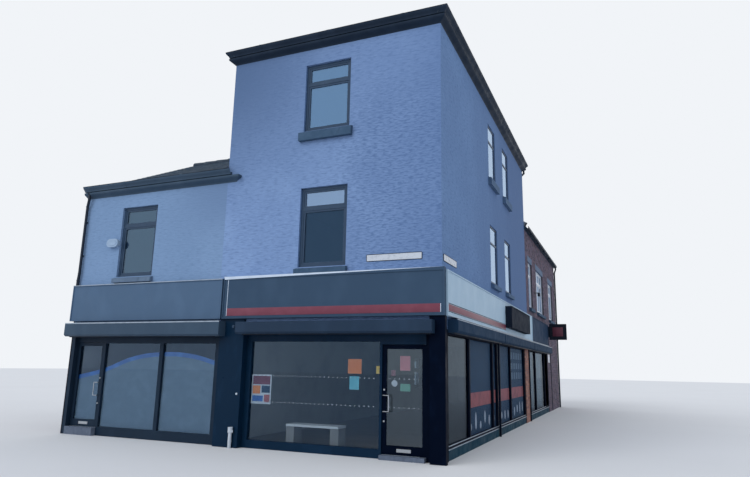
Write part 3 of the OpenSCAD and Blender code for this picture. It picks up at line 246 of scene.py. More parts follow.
# milled sheet lead, dulled by rain: grey with white streaks
sheetLead = surface("milledLead", "#5F6A77", 0.6, [("#808B98", 90, 0.5, 0.8, (1, 1, 0.3))], [(60, 2.0)],
                    metallic=0.3)

# float-finished concrete: grey, cloudy
concrete = surface("floatedConcrete", "#8A8B8C", 0.85, [("#77787B", 400, 0.4, 0.75)], [(30, 0.8, even, 4)])

# gypsum plaster with matt emulsion: off-white, flat
plaster = surface("emulsionedPlaster", "#B9BCBE", 0.9, [("#A4A7AA", 900, 0.45, 0.75)], [(60, 0.5)])

# vitreous enamel on steel: white, glassy, a little rust-stained at the rim
enamel = surface("vitreousEnamel", "#BFC7D2", 0.25, [("#A3ACBA", 90, 0.5, 0.8)], [], (60, 0.2, 0.4))

# satin stainless steel, drawn along its length
steel = surface("satinStainlessSteel", "#B9BEC4", 0.3, [], [(6, 0.08, (1, 1, 0.05))], (30, 0.24, 0.4),
                metallic=1.0)

# mill-finish aluminium trim: pale, satin
trimMetal = surface("milledAluminium", "#A9B6C4", 0.38, [("#8896A6", 160, 0.45, 0.8)],
                    [(10, 0.1, (1, 0.05, 1))], metallic=0.7)

# woven polyester vertical blinds: pale, matt, faint vertical weave
blindCloth = surface("polyesterBlind", "#A5B8BE", 0.9, [("#8FA4AC", 35, 0.4, 0.8, (1, 1, 0.02))],
                     [(8, 0.4, (1, 1, 0.1))])


def glossPaint(name, colour, worn, roughness=0.35, sizeMm=160, specular=0.1):
    # oil gloss over primed timber or steel: even colour, brush marks, dust in the lee of edges
    stains = [(worn, sizeMm, 0.55, 1.0, (1, 1, 0.5)), (worn, 1100, 0.5, 1.0)]
    return surface(name, colour, roughness, stains, [(22, 0.12, (1, 1, 0.15))],
                   (240, roughness - 0.08, roughness + 0.2), specular=specular)


navyPaint = glossPaint("navyShopPaint", "#07233A", "#13304A")
postPaint = glossPaint("blackBluePostPaint", "#020A1C", "#08162C", 0.45, specular=0.03)
stallPaint = glossPaint("tealStallPaint", "#153A4D", "#27505F", 0.5, specular=0.04)
cornicePaint = glossPaint("blackCornicePaint", "#1F2C3C", "#2C3A4C", 0.45, 300, 0.1)
fadedGutterPaint = glossPaint("fadedGutterPaint", "#384C60", "#465A6E", 0.45, 300, 0.2)
rimPaint = glossPaint("blackRimPaint", "#1A202B", "#2A313D", 0.4, 60)


def powderCoat(name, colour, light, roughness=0.42, specular=0.2):
    # polyester powder coat on aluminium: even, faint orange peel, a film of road dust
    return surface(name, colour, roughness, [(light, 500, 0.5, 1.0, (1, 1, 0.6))], [(7, 0.06)],
                   (180, roughness - 0.06, roughness + 0.12), specular=specular)


wingCoat = powderCoat("greyShopCoat", "#1A2A3B", "#26374A", specular=0.12)
boxCoat = powderCoat("navyBoxCoat", "#1D3147", "#293F57")
wingBoxCoat = powderCoat("greyBoxCoat", "#35495D", "#41566A")
sideCoat = powderCoat("darkSideCoat", "#0B1324", "#151F33", 0.5, 0.03)
sideBoxCoat = powderCoat("darkBoxCoat", "#213850", "#2D455F", 0.6, 0.03)
charcoalPanel = powderCoat("charcoalSignPanel", "#374C63", "#40566E", 0.5, 0.1)
sidePanel = powderCoat("charcoalSidePanel", "#2B3D55", "#364A63", 0.6, 0.03)
wingPanel = powderCoat("slateBlueSignPanel", "#4A637F", "#536D8A", 0.5)
palePanel = powderCoat("paleSignPanel", "#A2BDD2", "#B1CADD", 0.5)
signPanel = powderCoat("darkSignPanel", "#1B2432", "#242D3B", 0.6, 0.03)
shutterSteel = powderCoat("darkShutterCoat", "#101B2B", "#1D2A3C", 0.4)


def mouldedPlastic(name, colour, light, specular=0.3):
    # extruded or moulded plastic, foiled or plain gloss: smooth, crisp, dusty in the corners
    return surface(name, colour, 0.32, [(light, 240, 0.5, 1.0)], [(12, 0.06, (1, 1, 0.1))], (90, 0.26, 0.45),
                   ior=1.53, specular=specular)


darkFoil = mouldedPlastic("anthraciteUpvc", "#33475E", "#40546B", 0.2)
whiteUpvc = mouldedPlastic("whiteUpvc", "#C6D0DC", "#AEBAC8")
blackPvc = mouldedPlastic("blackPvcRainwater", "#1B2635", "#293646", 0.2)
pipePvc = mouldedPlastic("greyWastePvc", "#BFC9D4", "#9DA9B6")
alarmPlastic = mouldedPlastic("weatheredWhiteAbs", "#93ABC6", "#859EBB")
pushPlastic = mouldedPlastic("whiteAbs", "#C3D0DE", "#A7B7CA")
laminate = mouldedPlastic("whiteLaminate", "#D2D7DC", "#B9C0C8")


def dressedStone(name, colour, light, dark):
    # sandstone sills and lintels under masonry paint: fine grit, stained where rain runs
    stains = [(light, 150, 0.45, 0.9), (dark, 80, 0.55, 0.9, (1, 1, 0.4))]
    return surface(name, colour, 0.85, stains, [(10, 1.0, even, 4)], specular=0.2)


darkStone = dressedStone("paintedSandstoneSill", "#3B536C", "#48607A", "#2D4156")
sideStone = dressedStone("paintedStreetSill", "#4C6583", "#587290", "#425974")
wingStone = dressedStone("bareSandstoneSill", "#5C7088", "#6B7F96", "#4A5C72")
greyStone = dressedStone("paintedSandstoneLintel", "#5E7089", "#6B7E98", "#4A5A70")
stepStone = dressedStone("wornYorkstoneStep", "#5A6577", "#6A7688", "#454F60")


def floorBoards():
    # laminate boards 190 mm wide along the building: brown-grey, satin
    material, tree, shader, place = newMaterial("oakLaminateBoards", "#6E6258", 0.5)
    planks = addNode(tree, "TexBrick", {
        "Scale": 1.0, "Brick Width": 1.2, "Row Height": 0.19, "Mortar Size": 0.004,
        "Color1": hexColour("#766A5E"), "Color2": hexColour("#63584F"), "Mortar": hexColour("#39332E")},
        {"Vector": place})
    tree.links.new(planks.outputs["Color"], shader.inputs["Base Color"])
    grain(tree, place, shader, 40, 0.3, (0.2, 1, 1), 4)
    return material


boards = floorBoards()


def floatGlass(name, tint, mirror, straightOn, grazing=1.0):
    # float glass: clear when looked straight through and more of a mirror along its face
    material = bpy.data.materials.new(name)
    material.use_nodes = True
    tree = material.node_tree
    tree.nodes.remove(tree.nodes["Principled BSDF"])
    facingShare = addNode(tree, "LayerWeight", {"Blend": 0.5}).outputs["Facing"]
    steep = addNode(tree, "Math", {1: 5.0}, {0: facingShare}, operation="POWER").outputs[0]
    share = addNode(tree, "MapRange", {"To Min": straightOn, "To Max": grazing}, {"Value": steep})
    clear = addNode(tree, "BsdfTransparent", {"Color": hexColour(tint)})
    shine = addNode(tree, "BsdfGlossy", {"Color": hexColour(mirror), "Roughness": 0.02})
    mix = addNode(tree, "MixShader", links={
        0: share.outputs["Result"], 1: clear.outputs[0], 2: shine.outputs[0]})
    tree.links.new(mix.outputs[0], tree.nodes["Material Output"].inputs["Surface"])
    return material


# the blue mirror colours and each glass's own strength straight on stand in for sky and street reflected in
# the windows: painted reflection; the grey tints of the side and upper glazing, darker than clear glass,
# darken the rooms behind: painted shade
shopGlass = floatGlass("clearFloatGlass", "#EDF1F3", "#A4C4E8", 0.055)
doorGlass = floatGlass("doorFloatGlass", "#EDF1F3", "#B4C6D6", 0.10)
wingShopGlass = floatGlass("filmedFloatGlass", "#F1F4F6", "#A8C6EA", 0.07)
sideGlass = floatGlass("sideFloatGlass", "#CBD6DC", "#A8B4C0", 0.08, 0.6)
printedGlass = floatGlass("printedFloatGlass", "#F0F3F5", "#A9BED8", 0.01, 0.05)
secondGlass = floatGlass("skyLitDoubleGlazing", "#AAB7BF", "#9AC6F4", 0.42)
topGlass = floatGlass("paleSkyDoubleGlazing", "#AAB7BF", "#B5D5FC", 0.50)
firstGlass = floatGlass("shadedDoubleGlazing", "#AAB7BF", "#8FBEF0", 0.10)
wingGlass = floatGlass("skyReflectionWingGlazing", "#AAB7BF", "#A0C2E0", 0.24)
streetGlass = floatGlass("sideDoubleGlazing", "#AAB7BF", "#D0E6FF", 0.55)


def vinyl(name, colour, light, alpha=1.0, roughness=0.4, specular=0.5):
    # cast vinyl film stuck to the glass or the panel: flat colour, slightly faded
    return surface(name, colour, roughness, [(light, 220, 0.45, 0.85)], [(90, 0.2)], specular=specular,
                   alpha=alpha)


redVinyl = vinyl("redFascia", "#6E2E43", "#7C3F52")
brightVinyl = vinyl("brightCapping", "#C6D4E6", "#AFC0D4")
frostVinyl = vinyl("frostedFilm", "#657E92", "#768FA2", 0.8, 0.8)
blueVinyl = vinyl("blueArcFilm", "#1C58A0", "#3A7CC8")
darkFilm = vinyl("darkWindowFilm", "#2D4560", "#36506C", 1.0, 0.6, 0.05)
emberFilm = vinyl("emberBandFilm", "#B4686A", "#86505A", 1.0, 0.6, 0.1)
rowFilm = vinyl("palePrintRows", "#647A90", "#56697E", 1.0, 0.6, 0.05)
paleFilm = vinyl("palePrintFilm", "#B9C3D2", "#7E8DA2")
orangeFilm = vinyl("orangeSticker", "#D9772F", "#E38D4B")
cyanFilm = vinyl("cyanSticker", "#5FB4C6", "#7CC5D3")
yellowFilm = vinyl("yellowSticker", "#D8B23C", "#E2C25E")
pinkFilm = vinyl("pinkNotice", "#C4707C", "#D48C95")
greenFilm = vinyl("greenNotice", "#5FA08C", "#79B3A1")
paperFilm = vinyl("paperSheet", "#CBD2DA", "#B7C0CB", 1.0, 0.7)
etchedDot = vinyl("etchedDots", "#B9C6D2", "#A7B5C3", 0.3, 0.7)
maroonFace = vinyl("maroonSignFace", "#5A2438", "#6E3448", 1.0, 0.6)
print("materials made")

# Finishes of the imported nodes

partyLine = -5.2       # between the corner block and the wing, in x
streetInside = -0.3    # the inner face of the walls on the side street, in x
firstHeads = 5.05      # the transoms of the first-floor windows, in z
secondFoot = 5.9       # below the second-floor windows, in z


def painted(piece, *materials):
    piece.data.materials.clear()
    for material in materials:
        piece.data.materials.append(material)
    return piece


def facing(axis, sign):  # a test for the faces that look along an axis: 0, 1 and 2 are X, Y and Z
    return lambda centre, normal: normal[axis] * sign > 0.9


def past(axis, sign, limit):  # a test for the faces whose middle lies past a limit
    return lambda centre, normal: (centre[axis] - limit) * sign > 0


def indoors(axis, sign, wallFace):  # plaster on the faces that look indoors from a wall's inner face
    return plaster, lambda centre, normal: (normal[axis] * sign > 0.9
                                            and (centre[axis] - wallFace) * sign > -0.005)


def dress(nodeNames, material, *parts):  # parts are (material, test) pairs, and the last that fits counts
    for nodeName in nodeNames.split():
        mesh = painted(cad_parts[nodeName], material, *(other for other, _ in parts)).data
        for face in mesh.polygons:
            face.material_index = 0
            for number, (_, test) in enumerate(parts, 1):
                if test(face.center, face.normal):
                    face.material_index = number


# wall ends in the side street take the side wall's darker paint, which is painted shade
streetEnd = (sideShadedRender, facing(0, 1))  # a wall's end in the side street
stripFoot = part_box("front_fascia")[1].z - 0.04
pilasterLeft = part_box("corner_pilaster")[0].x
sideFace = 0.12      # the side fascia's own front, in x
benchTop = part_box("window_bench")[1].z

dress("corner_front_wall", frontRender, indoors(1, 1, 0.3), streetEnd)
dress("corner_side_wall", sideShadedRender, indoors(0, -1, -0.3))
dress("corner_rear_wall", frontRender, indoors(1, -1, 10.2), streetEnd)
dress("dividing_wall", frontRender, indoors(0, 1, -4.9))
dress("wing_front_wall", wingRender, indoors(1, 1, 0.3))
dress("wing_rear_wall", wingRender, indoors(1, -1, 7.7))
dress("wing_end_wall", mortar, indoors(0, 1, -9.5))
dress("extension_street_wall side_brick_pier", mortar, indoors(0, -1, -0.3))
dress("extension_yard_wall", mortar, indoors(0, 1, -4.9))
dress("extension_gable_wall", mortar, indoors(1, -1, 19.3))
dress("corner_roof wing_roof extension_roof", roofSlate)
dress("corner_cornice extension_gutters", cornicePaint)
dress("wing_gutters", fadedGutterPaint)
dress("downpipes", blackPvc)
dress("ground_floor", boards)
dress("first_floor second_floor", boards, (plaster, facing(2, -1)))
dress("front_window_frames side_window_frames", darkFoil)
dress("extension_window_frames rear_window_frames", whiteUpvc)
# each floor and side of the upper windows takes its own glass, with its own painted reflection
dress("upper_window_glass", firstGlass, (topGlass, past(2, 1, firstHeads)),
      (secondGlass, past(2, 1, secondFoot)), (wingGlass, past(0, -1, partyLine)),
      (streetGlass, past(0, 1, streetInside)))
dress("window_sills", darkStone, (wingStone, past(0, -1, partyLine)),
      (sideStone, lambda centre, normal: centre.x > streetInside and centre.y < 10.5))
dress("extension_lintels", greyStone)
dress("corner_pilaster shop_window_frame", navyPaint)
dress("corner_post corner_door_leaf", postPaint)
dress("corner_door_glass", doorGlass)
dress("wing_door_glass", wingShopGlass)
dress("shop_window_glass", shopGlass, (wingShopGlass, past(0, -1, pilasterLeft)))
dress("side_shop_glass", sideGlass, (printedGlass, lambda centre, normal: 2.2 < centre.y < 9.7))
dress("front_headers", navyPaint, (wingCoat, past(0, -1, pilasterLeft)))
dress("wing_post wing_shop_frame wing_door_leaf", wingCoat)
dress("side_shop_frame shutter_guides", sideCoat)
dress("side_stall_riser", stallPaint)
dress("front_fascia", charcoalPanel, (brightVinyl, past(2, 1, stripFoot)))
dress("wing_fascia", wingPanel)
dress("side_fascia", palePanel, (signPanel, past(0, 1, sideFace + 0.002)))
dress("extension_fascia", sidePanel)
dress("front_shutter_boxes", boxCoat, (wingBoxCoat, past(0, -1, pilasterLeft + 0.16)))
dress("side_shutter_boxes", sideBoxCoat)
dress("projecting_sign", signPanel)
dress("street_name_plates", enamel)
dress("waste_pipe", pipePvc)
dress("alarm_box", alarmPlastic)
dress("door_steps", stepStone)
dress("window_bench", concrete, (laminate, past(2, 1, benchTop - 0.05)))
dress("door_hinges corner_door_fittings wing_door_fittings", steel)
print("nodes dressed")

# Modelling tools


def choose(*pieces):
    bpy.ops.object.select_all(action="DESELECT")
    for piece in pieces:
        piece.select_set(True)
    bpy.context.view_layer.objects.active = pieces[0]


def addBlock(low, high):
    bpy.ops.object.select_all(action="DESELECT")
    bpy.ops.mesh.primitive_cube_add(size=1, location=[(a + b) / 2 for a, b in zip(low, high)])
    bpy.context.object.scale = [b - a for a, b in zip(low, high)]
    bpy.ops.object.transform_apply()
    return bpy.context.object


def addRound(centre, radius, length, axis="Z", sides=16, ends="NGON"):
    turn = {"X": (0, math.pi / 2, 0), "Y": (math.pi / 2, 0, 0), "Z": (0, 0, 0)}[axis]
    bpy.ops.object.select_all(action="DESELECT")
    bpy.ops.mesh.primitive_cylinder_add(vertices=sides, radius=radius, depth=length, location=centre,
                                        rotation=turn, end_fill_type=ends)
    bpy.ops.object.transform_apply()
    return bpy.context.object


def settle(piece, start=(0, 0, 0), turn=0, tilt=0):
    # tilts a piece about X, turns it about Z and moves it, with its place kept in its mesh
    piece.rotation_euler = (math.radians(tilt), 0, math.radians(turn))
    piece.location = start
    choose(piece)
    bpy.ops.object.transform_apply()
    return piece


def openAll(piece):  # edit mode, with everything chosen
    choose(piece)
    bpy.ops.object.mode_set(mode="EDIT")
    bpy.ops.mesh.select_all(action="SELECT")


def openFaces(piece, test):  # edit mode, with the faces that pass the test chosen
    openAll(piece)
    bpy.ops.mesh.select_mode(type="FACE")
    bpy.ops.mesh.select_all(action="DESELECT")
    shape = bmesh.from_edit_mesh(piece.data)
    for face in shape.faces:
        face.select_set(test(face.calc_center_median(), face.normal))
    bmesh.update_edit_mesh(piece.data)


def close():
    bpy.ops.object.mode_set(mode="OBJECT")


def insetFaces(piece, test, border, depth, step=0.0008):  # a framed panel, sunk by depth
    openFaces(piece, test)
    bpy.ops.mesh.inset(thickness=border)
    bpy.ops.mesh.inset(thickness=step, depth=-depth)
    close()
    return piece


def applied(piece, kind, **settings):  # adds a modifier and applies it
    choose(piece)
    modifier = piece.modifiers.new(kind.lower(), kind)
    for setting, value in settings.items():
        setattr(modifier, setting, value)
    bpy.ops.object.modifier_apply(modifier=modifier.name)
    return piece


def repeat(piece, count, step):
    return applied(piece, "ARRAY", count=count, use_relative_offset=False, use_constant_offset=True,
                   constant_offset_displace=step)


def soften(piece, width, segments=2):
    return applied(piece, "BEVEL", width=width, segments=segments, limit_method="ANGLE")


def cutAway(piece, point, outward):  # takes off what lies past a plane and closes the cut
    openAll(piece)
    bpy.ops.mesh.bisect(plane_co=point, plane_no=outward, use_fill=True, clear_outer=True)
    close()
    return piece


def joined(pieces):
    choose(*pieces)
    if len(pieces) > 1:
        bpy.ops.object.join()
    return pieces[0]


def twin(piece, move=(0, 0, 0)):
    other = piece.copy()
    other.data = piece.data.copy()
    scene.collection.objects.link(other)
    return settle(other, move)


def curvedSheet(upper, lower, y, thickness):
    # a flat sheet whose upper edge, and lower edge if it has several points, is a smooth curve
    curve = bpy.data.curves.new("sheet", "CURVE")
    curve.dimensions = "2D"
    curve.fill_mode = "BOTH"
    curve.extrude = thickness / 2
    curve.resolution_u = 8
    spline = curve.splines.new("BEZIER")
    outline = list(upper) + list(reversed(lower))
    spline.bezier_points.add(len(outline) - 1)
    spline.use_cyclic_u = True
    ends = {0, len(upper) - 1, len(upper), len(outline) - 1}
    for number, (spot, (x, z)) in enumerate(zip(spline.bezier_points, outline)):
        spot.co = (x, z, 0)
        kind = "VECTOR" if number in ends else "AUTO"
        spot.handle_left_type = kind
        spot.handle_right_type = kind
    piece = bpy.data.objects.new("sheet", curve)
    scene.collection.objects.link(piece)
    choose(piece)
    bpy.ops.object.convert(target="MESH")
    piece = bpy.context.object
    openAll(piece)
    bpy.ops.mesh.remove_doubles(threshold=0.00001)
    bpy.ops.mesh.normals_make_consistent(inside=False)
    close()
    return settle(piece, (0, y, 0), 0, 90)


def finishPiece(name, pieces, material=None, edge=0, segments=2, body="building"):
    # joins the parts of a piece, rounds its edges by a width, paints it and puts it on its body
    piece = joined(pieces)
    piece.name = name
    if edge:
        soften(piece, edge, segments)
    if material:
        painted(piece, material)
    choose(piece)
    bpy.ops.object.shade_smooth_by_angle(angle=math.radians(35))
    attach(piece, body)


def scatter(a, b):  # a number from 0 to 1 that is the same for the same place each run
    return (math.sin(a * 12.9898 + b * 78.233) * 43758.5453) % 1


def setTones(piece, cellOf):
    tones = piece.data.attributes.new("tone", "FLOAT", "FACE")
    for face, tone in zip(piece.data.polygons, tones.data):
        tone.value = scatter(*cellOf(face.center))


def nodeExtent(nodeName, test):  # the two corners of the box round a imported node's points that pass a test
    points = [point.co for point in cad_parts[nodeName].data.vertices if test(point.co)]
    return [[end(point[axis] for point in points) for axis in range(3)] for end in (min, max)]


def sideOf(nodeName, turn):  # where the side of a node's box that a turn about Z faces starts, and its length
    low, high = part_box(nodeName)
    start = Vector((low.x if turn in (0, -90) else high.x, low.y if turn in (0, 90) else high.y, 0))
    return start, high.x - low.x if turn in (0, 180) else high.y - low.y


roofs = {
    # eaves: the slates' foot above the roof's own; across: the axis from eaves to eaves
    "corner": {"pitch": 27, "eaves": 0.15, "across": 0, "turns": (0, 90, 180, -90)},
    "wing": {"pitch": 26.5, "eaves": 0.15, "across": 1, "turns": (0, 180)},
    "extension": {"pitch": 30, "eaves": 0.09, "across": 0, "turns": (90, -90)},
}

# Brickwork

brick = {
    "length": 0.215, "header": 0.1025, "height": 0.065,
    "joint": 0.010,
    "proud": 0.004,      # how far the bricks stand out of their mortar
    "sunk": 0.030,
    "reach": 0.12,       # how far a wall's outline is moved out to cut the bricks in front of it
    "shifts": (0.05625, 0, 0.1125, 0),   # a course of headers, then three of stretchers
}
course = brick["height"] + brick["joint"]


def brickStep(number):  # spacing of the bricks in a course
    return (brick["header"] if number % 4 == 0 else brick["length"]) + brick["joint"]


def layBricks(width, height):  # a flat field of bricks in X and Z that faces -Y
    rows = []
    for number, shift in enumerate(brick["shifts"]):
        step = brickStep(number)
        left = shift - 2 * brickStep(1)
        row = addBlock((left, -brick["proud"], number * course),
                       (left + step - brick["joint"], brick["sunk"], number * course + brick["height"]))
        rows.append(repeat(row, math.ceil((width + 4 * brickStep(1)) / step), (step, 0, 0)))
    return repeat(joined(rows), math.ceil(height / course / 4), (0, 0, 4 * course))


def brickCell(centre, start, turn):  # the course and the place in it of a brick's face
    spot = Matrix.Rotation(-math.radians(turn), 4, "Z") @ (centre - start)
    number = math.floor((spot.z + 0.003) / course)
    return math.floor((spot.x - brick["shifts"][number % 4] + 0.003) / brickStep(number)), number


def fitToWall(piece, nodeName, outward):  # cuts a field of bricks to its wall, windows and all
    wall = bpy.data.objects.new("wallOutline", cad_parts[nodeName].data.copy())
    scene.collection.objects.link(wall)
    openAll(wall)
    bpy.ops.mesh.remove_doubles(threshold=0.00001)
    close()
    settle(wall, [brick["reach"] * part for part in outward])
    applied(piece, "BOOLEAN", operation="INTERSECT", solver="MANIFOLD", object=wall)
    bpy.data.objects.remove(wall)


def brickWall(name, nodeName, turn, cuts=(), holes=(), material=facingBrick):
    start, width = sideOf(nodeName, turn)
    field = settle(layBricks(width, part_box(nodeName)[1].z), start, turn)
    if not cuts:
        fitToWall(field, nodeName, Matrix.Rotation(math.radians(turn), 4, "Z") @ Vector((0, -1, 0)))
    for hole in holes:
        applied(field, "BOOLEAN", operation="DIFFERENCE", solver="MANIFOLD", object=hole)
        bpy.data.objects.remove(hole)
    for point, outward in cuts:
        cutAway(field, point, outward)
    setTones(field, lambda centre: brickCell(centre, start, turn))
    finishPiece(name, [field], material)


def gableCuts(nodeName, along, pitch):  # the foot, the two ends and the two slopes of a gable
    low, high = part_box(nodeName)
    lean = math.radians(pitch)
    cuts = [((0, 0, 0), (0, 0, -1))]
    for side, edge in ((-1, low), (1, high)):
        top, slope, end = (low + high) / 2, Vector((0, 0, math.cos(lean))), Vector((0, 0, 0))
        top.z = high.z
        end[along] = side
        slope[along] = side * math.sin(lean)
        cuts += [(edge, end), (top, slope)]
    return cuts


def gableHoles():  # blocks the size of the gable's window and of its sill
    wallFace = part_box("extension_gable_wall")[1].y
    holes = []
    for nodeName in ("rear_window_frames", "window_sills"):
        low, high = nodeExtent(nodeName, lambda point: point.y > wallFace - 0.25)
        holes.append(addBlock((low[0], wallFace - 0.1, low[2]), (high[0], wallFace + 0.1, high[2])))
    return holes


def addBrickwork():
    gable, party = "extension_gable_wall", "wing_end_wall"
    brickWall("streetBricks", "extension_street_wall", 90)
    brickWall("yardBricks", "extension_yard_wall", -90)
    brickWall("gableBricks", gable, 180, gableCuts(gable, 0, roofs["extension"]["pitch"]), gableHoles())
    brickWall("partyBricks", party, -90, gableCuts(party, 1, roofs["wing"]["pitch"]))
    brickWall("pierBricks", "side_brick_pier", 90, material=sunlitPierBrick)


addBrickwork()
print("brickwork laid")

# Slating

slate = {
    "width": 0.25, "gauge": 0.20, "gap": 0.003,
    "thickness": 0.007,
    "bed": 0.004,        # how far a slate's underside dips below the slope
    "lap": 0.04,
    "lift": 0.009,       # how far a tail is raised by the row below
}


def roofSizes(name):  # a roof's box, the height of its eaves, the run of a slope on plan, and its pitch
    low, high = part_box(name + "_roof")
    roof = roofs[name]
    axis = roof["across"]
    return low, high, low.z + roof["eaves"], (high[axis] - low[axis]) / 2, roof["pitch"]


def slateCell(centre):
    row = math.floor((centre.y + 0.01) / slate["gauge"])
    return math.floor((centre.x - row % 2 * slate["width"] / 2) / slate["width"] + 0.01), row


def laySlates(width, run, pitch, hips):
    # a slope laid flat: X along the eaves, Y up the slope, rows shifted by half a slate
    cosine = math.cos(math.radians(pitch))
    slope = run / cosine
    first = addBlock((slate["gap"] / 2 - slate["width"], 0, -slate["bed"]),
                     (-slate["gap"] / 2, slate["gauge"] + slate["lap"], slate["thickness"] - slate["bed"]))
    openFaces(first, facing(1, -1))
    bpy.ops.transform.translate(value=(0, 0, slate["lift"]))
    close()
    repeat(first, math.ceil(width / slate["width"]) + 2, (slate["width"], 0, 0))
    second = twin(first, (slate["width"] / 2, slate["gauge"], 0))
    field = repeat(joined([first, second]), math.ceil(slope / slate["gauge"] / 2), (0, 2 * slate["gauge"], 0))
    for edge, side in ((0, -1), (width, 1)):
        cutAway(field, (edge, 0, 0), (side, cosine if hips else 0, 0))
    cutAway(field, (0, slope, 0), (0, 1, 0))
    setTones(field, slateCell)
    return field


def addSlates():
    for name, roof in roofs.items():
        eaves, run, pitch = roofSizes(name)[2:]
        fields = []
        for turn in roof["turns"]:
            start, width = sideOf(name + "_roof", turn)
            start.z = eaves
            fields.append(settle(laySlates(width, run, pitch, len(roof["turns"]) == 4), start, turn, pitch))
        finishPiece(name + "Slates", fields, roofSlate)


addSlates()

ridge = {
    "length": 0.45, "radius": 0.12, "thickness": 0.014,
    "lap": 0.02,
    "taper": 0.88,       # each tile narrows to slip under the next
    "edge": -0.02,       # a tile's two long edges, under its middle
    "drop": 0.035,
}


def tileRun(start, end):  # half-round tiles from one point to another
    start, end = Vector(start), Vector(end)
    span = (end - start).length
    middle = ridge["length"] / 2
    tile = addRound((middle, 0, 0), ridge["radius"], ridge["length"] + ridge["lap"], "X", 16, "NOTHING")
    cutAway(tile, (0, 0, ridge["edge"]), (0, 0, -1))
    openAll(tile)
    shape = bmesh.from_edit_mesh(tile.data)
    for point in shape.verts:
        if point.co.x > middle:
            point.co.y *= ridge["taper"]
            point.co.z *= ridge["taper"]
    bmesh.update_edit_mesh(tile.data)
    close()
    applied(tile, "SOLIDIFY", thickness=ridge["thickness"], offset=-1)
    repeat(tile, math.ceil(span / ridge["length"]), (ridge["length"], 0, 0))
    cutAway(tile, (span, 0, 0), (1, 0, 0))
    tile.matrix_world = (Matrix.Translation(start - Vector((0, 0, ridge["drop"])))
                         @ (end - start).to_track_quat("X", "Z").to_matrix().to_4x4())
    choose(tile)
    bpy.ops.object.transform_apply()
    return tile


def addRidges():
    low, high, eaves, run, _ = roofSizes("corner")
    front, back = Vector((low.x + run, low.y + run, high.z)), Vector((low.x + run, high.y - run, high.z))
    runs = [(front, back)]
    for x in (low.x, high.x):
        runs += [((x, low.y, eaves), front), ((x, high.y, eaves), back)]
    low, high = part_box("wing_roof")
    middle = (low.y + high.y) / 2
    runs.append(((low.x, middle, high.z), (high.x, middle, high.z)))
    low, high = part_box("extension_roof")
    middle = (low.x + high.x) / 2
    runs.append(((middle, low.y, high.z), (middle, high.y, high.z)))
    finishPiece("ridgeTiles", [tileRun(*ends) for ends in runs], ridgeClay)


addRidges()

flashing = {
    "upstand": 0.15, "foot": 0.15, "thickness": 0.005,
    "base": 0.012,                          # the lead's underside over the slope
    "sheet": 1.2, "lap": (0.008, 0.05, 0.13),
    # the lead starts at this end of the roof's box in x and in y, with its turn and the side it lies to
    "wing": ((1, 0, 0, -1), (1, 1, 180, 1)),
    "extension": ((1, 0, 90, 1), (0, 0, -90, -1)),
}


def flashingRun(start, turn, pitch, slope, side):
    # an angle of lead up a slope: Y up the slope, the upstand on the wall at X of 0
    lapOut, lapLength, lapTop = flashing["lap"]

    def strip(out, length, top):
        return addBlock((min(0, side * out), 0, flashing["base"]), (max(0, side * out), length, top))

    foot = strip(flashing["foot"], slope, flashing["base"] + flashing["thickness"])
    upstand = strip(flashing["thickness"], slope, flashing["upstand"])
    laps = repeat(strip(lapOut, lapLength, lapTop), int(slope / flashing["sheet"]), (0, flashing["sheet"], 0))
    return settle(soften(joined([foot, upstand, laps]), 0.002), start, turn, pitch)


def addFlashings():
    leads = []
    for name in ("wing", "extension"):
        low, high, eaves, run, pitch = roofSizes(name)
        for atX, atY, turn, side in flashing[name]:
            start = ((low, high)[atX].x, (low, high)[atY].y, eaves)
            leads.append(flashingRun(start, turn, pitch, run / math.cos(math.radians(pitch)), side))
    finishPiece("leadFlashings", leads, sheetLead)


addFlashings()
print("roofs slated")

# Rainwater goods

gutter = {
    "foot": (0.130, 0.090),     # the ogee's lower end: out of the wall and above the wall's top
    "lip": (0.200, 0.208),
    "top": 0.220,
    "sway": 0.125,
    "proud": 0.004, "sunk": 0.006,
    "strap": 0.07, "spacing": 1.8, "bead": 0.010,
}
boxGutter = {"back": 0.085, "front": 0.165, "height": 0.08, "wall": 0.012, "base": 0.015}


def strapCount(length):
    return max(1, int(length / gutter["spacing"]))


def strapStart(length):
    return (length - (strapCount(length) - 1) * gutter["spacing"]) / 2


def strapRun(strap, start, turn, length):
    return settle(repeat(strap, strapCount(length), (gutter["spacing"], 0, 0)), start, turn)


def ogeeLine(offset):  # points up the gutter's curved face, each moved outwards by offset, to its tip
    (x0, z0), (x1, z1) = gutter["foot"], gutter["lip"]
    shares = [step / 8 for step in range(9)]
    line = [(x0 + (x1 - x0) * (t - gutter["sway"] * math.sin(2 * math.pi * t)) + offset, z0 + (z1 - z0) * t)
            for t in shares]
    return line + [(x1 + offset, gutter["top"] + gutter["proud"])]


def ogeeStraps(start, turn, length):
    # straps over the joints of a moulded gutter: X along the gutter, which hangs at -Y
    strap = curvedSheet(ogeeLine(gutter["proud"]), ogeeLine(-gutter["sunk"]), 0, gutter["strap"])
    return strapRun(settle(strap, (strapStart(length), 0, 0), -90), start, turn, length)


def boxStraps(start, turn, length):
    # the same on a square gutter: U-shaped unions, open at the top
    first, half = strapStart(length), gutter["strap"] / 2
    union = addBlock((first - half, -boxGutter["front"] - gutter["proud"], -gutter["proud"]),
                     (first + half, -boxGutter["back"], boxGutter["height"] + gutter["proud"]))
    insetFaces(union, facing(2, 1), boxGutter["wall"], boxGutter["height"] - boxGutter["base"])
    return strapRun(soften(union, 0.002), start, turn, length)


def gutterBead(start, turn, length, out):  # the rolled lip along the top of a gutter's front
    size, proud = gutter["bead"], gutter["proud"]
    bead = addBlock((0, -out - proud, -size), (length, -out + size - proud, proud / 2))
    return settle(soften(bead, 0.003), start, turn)


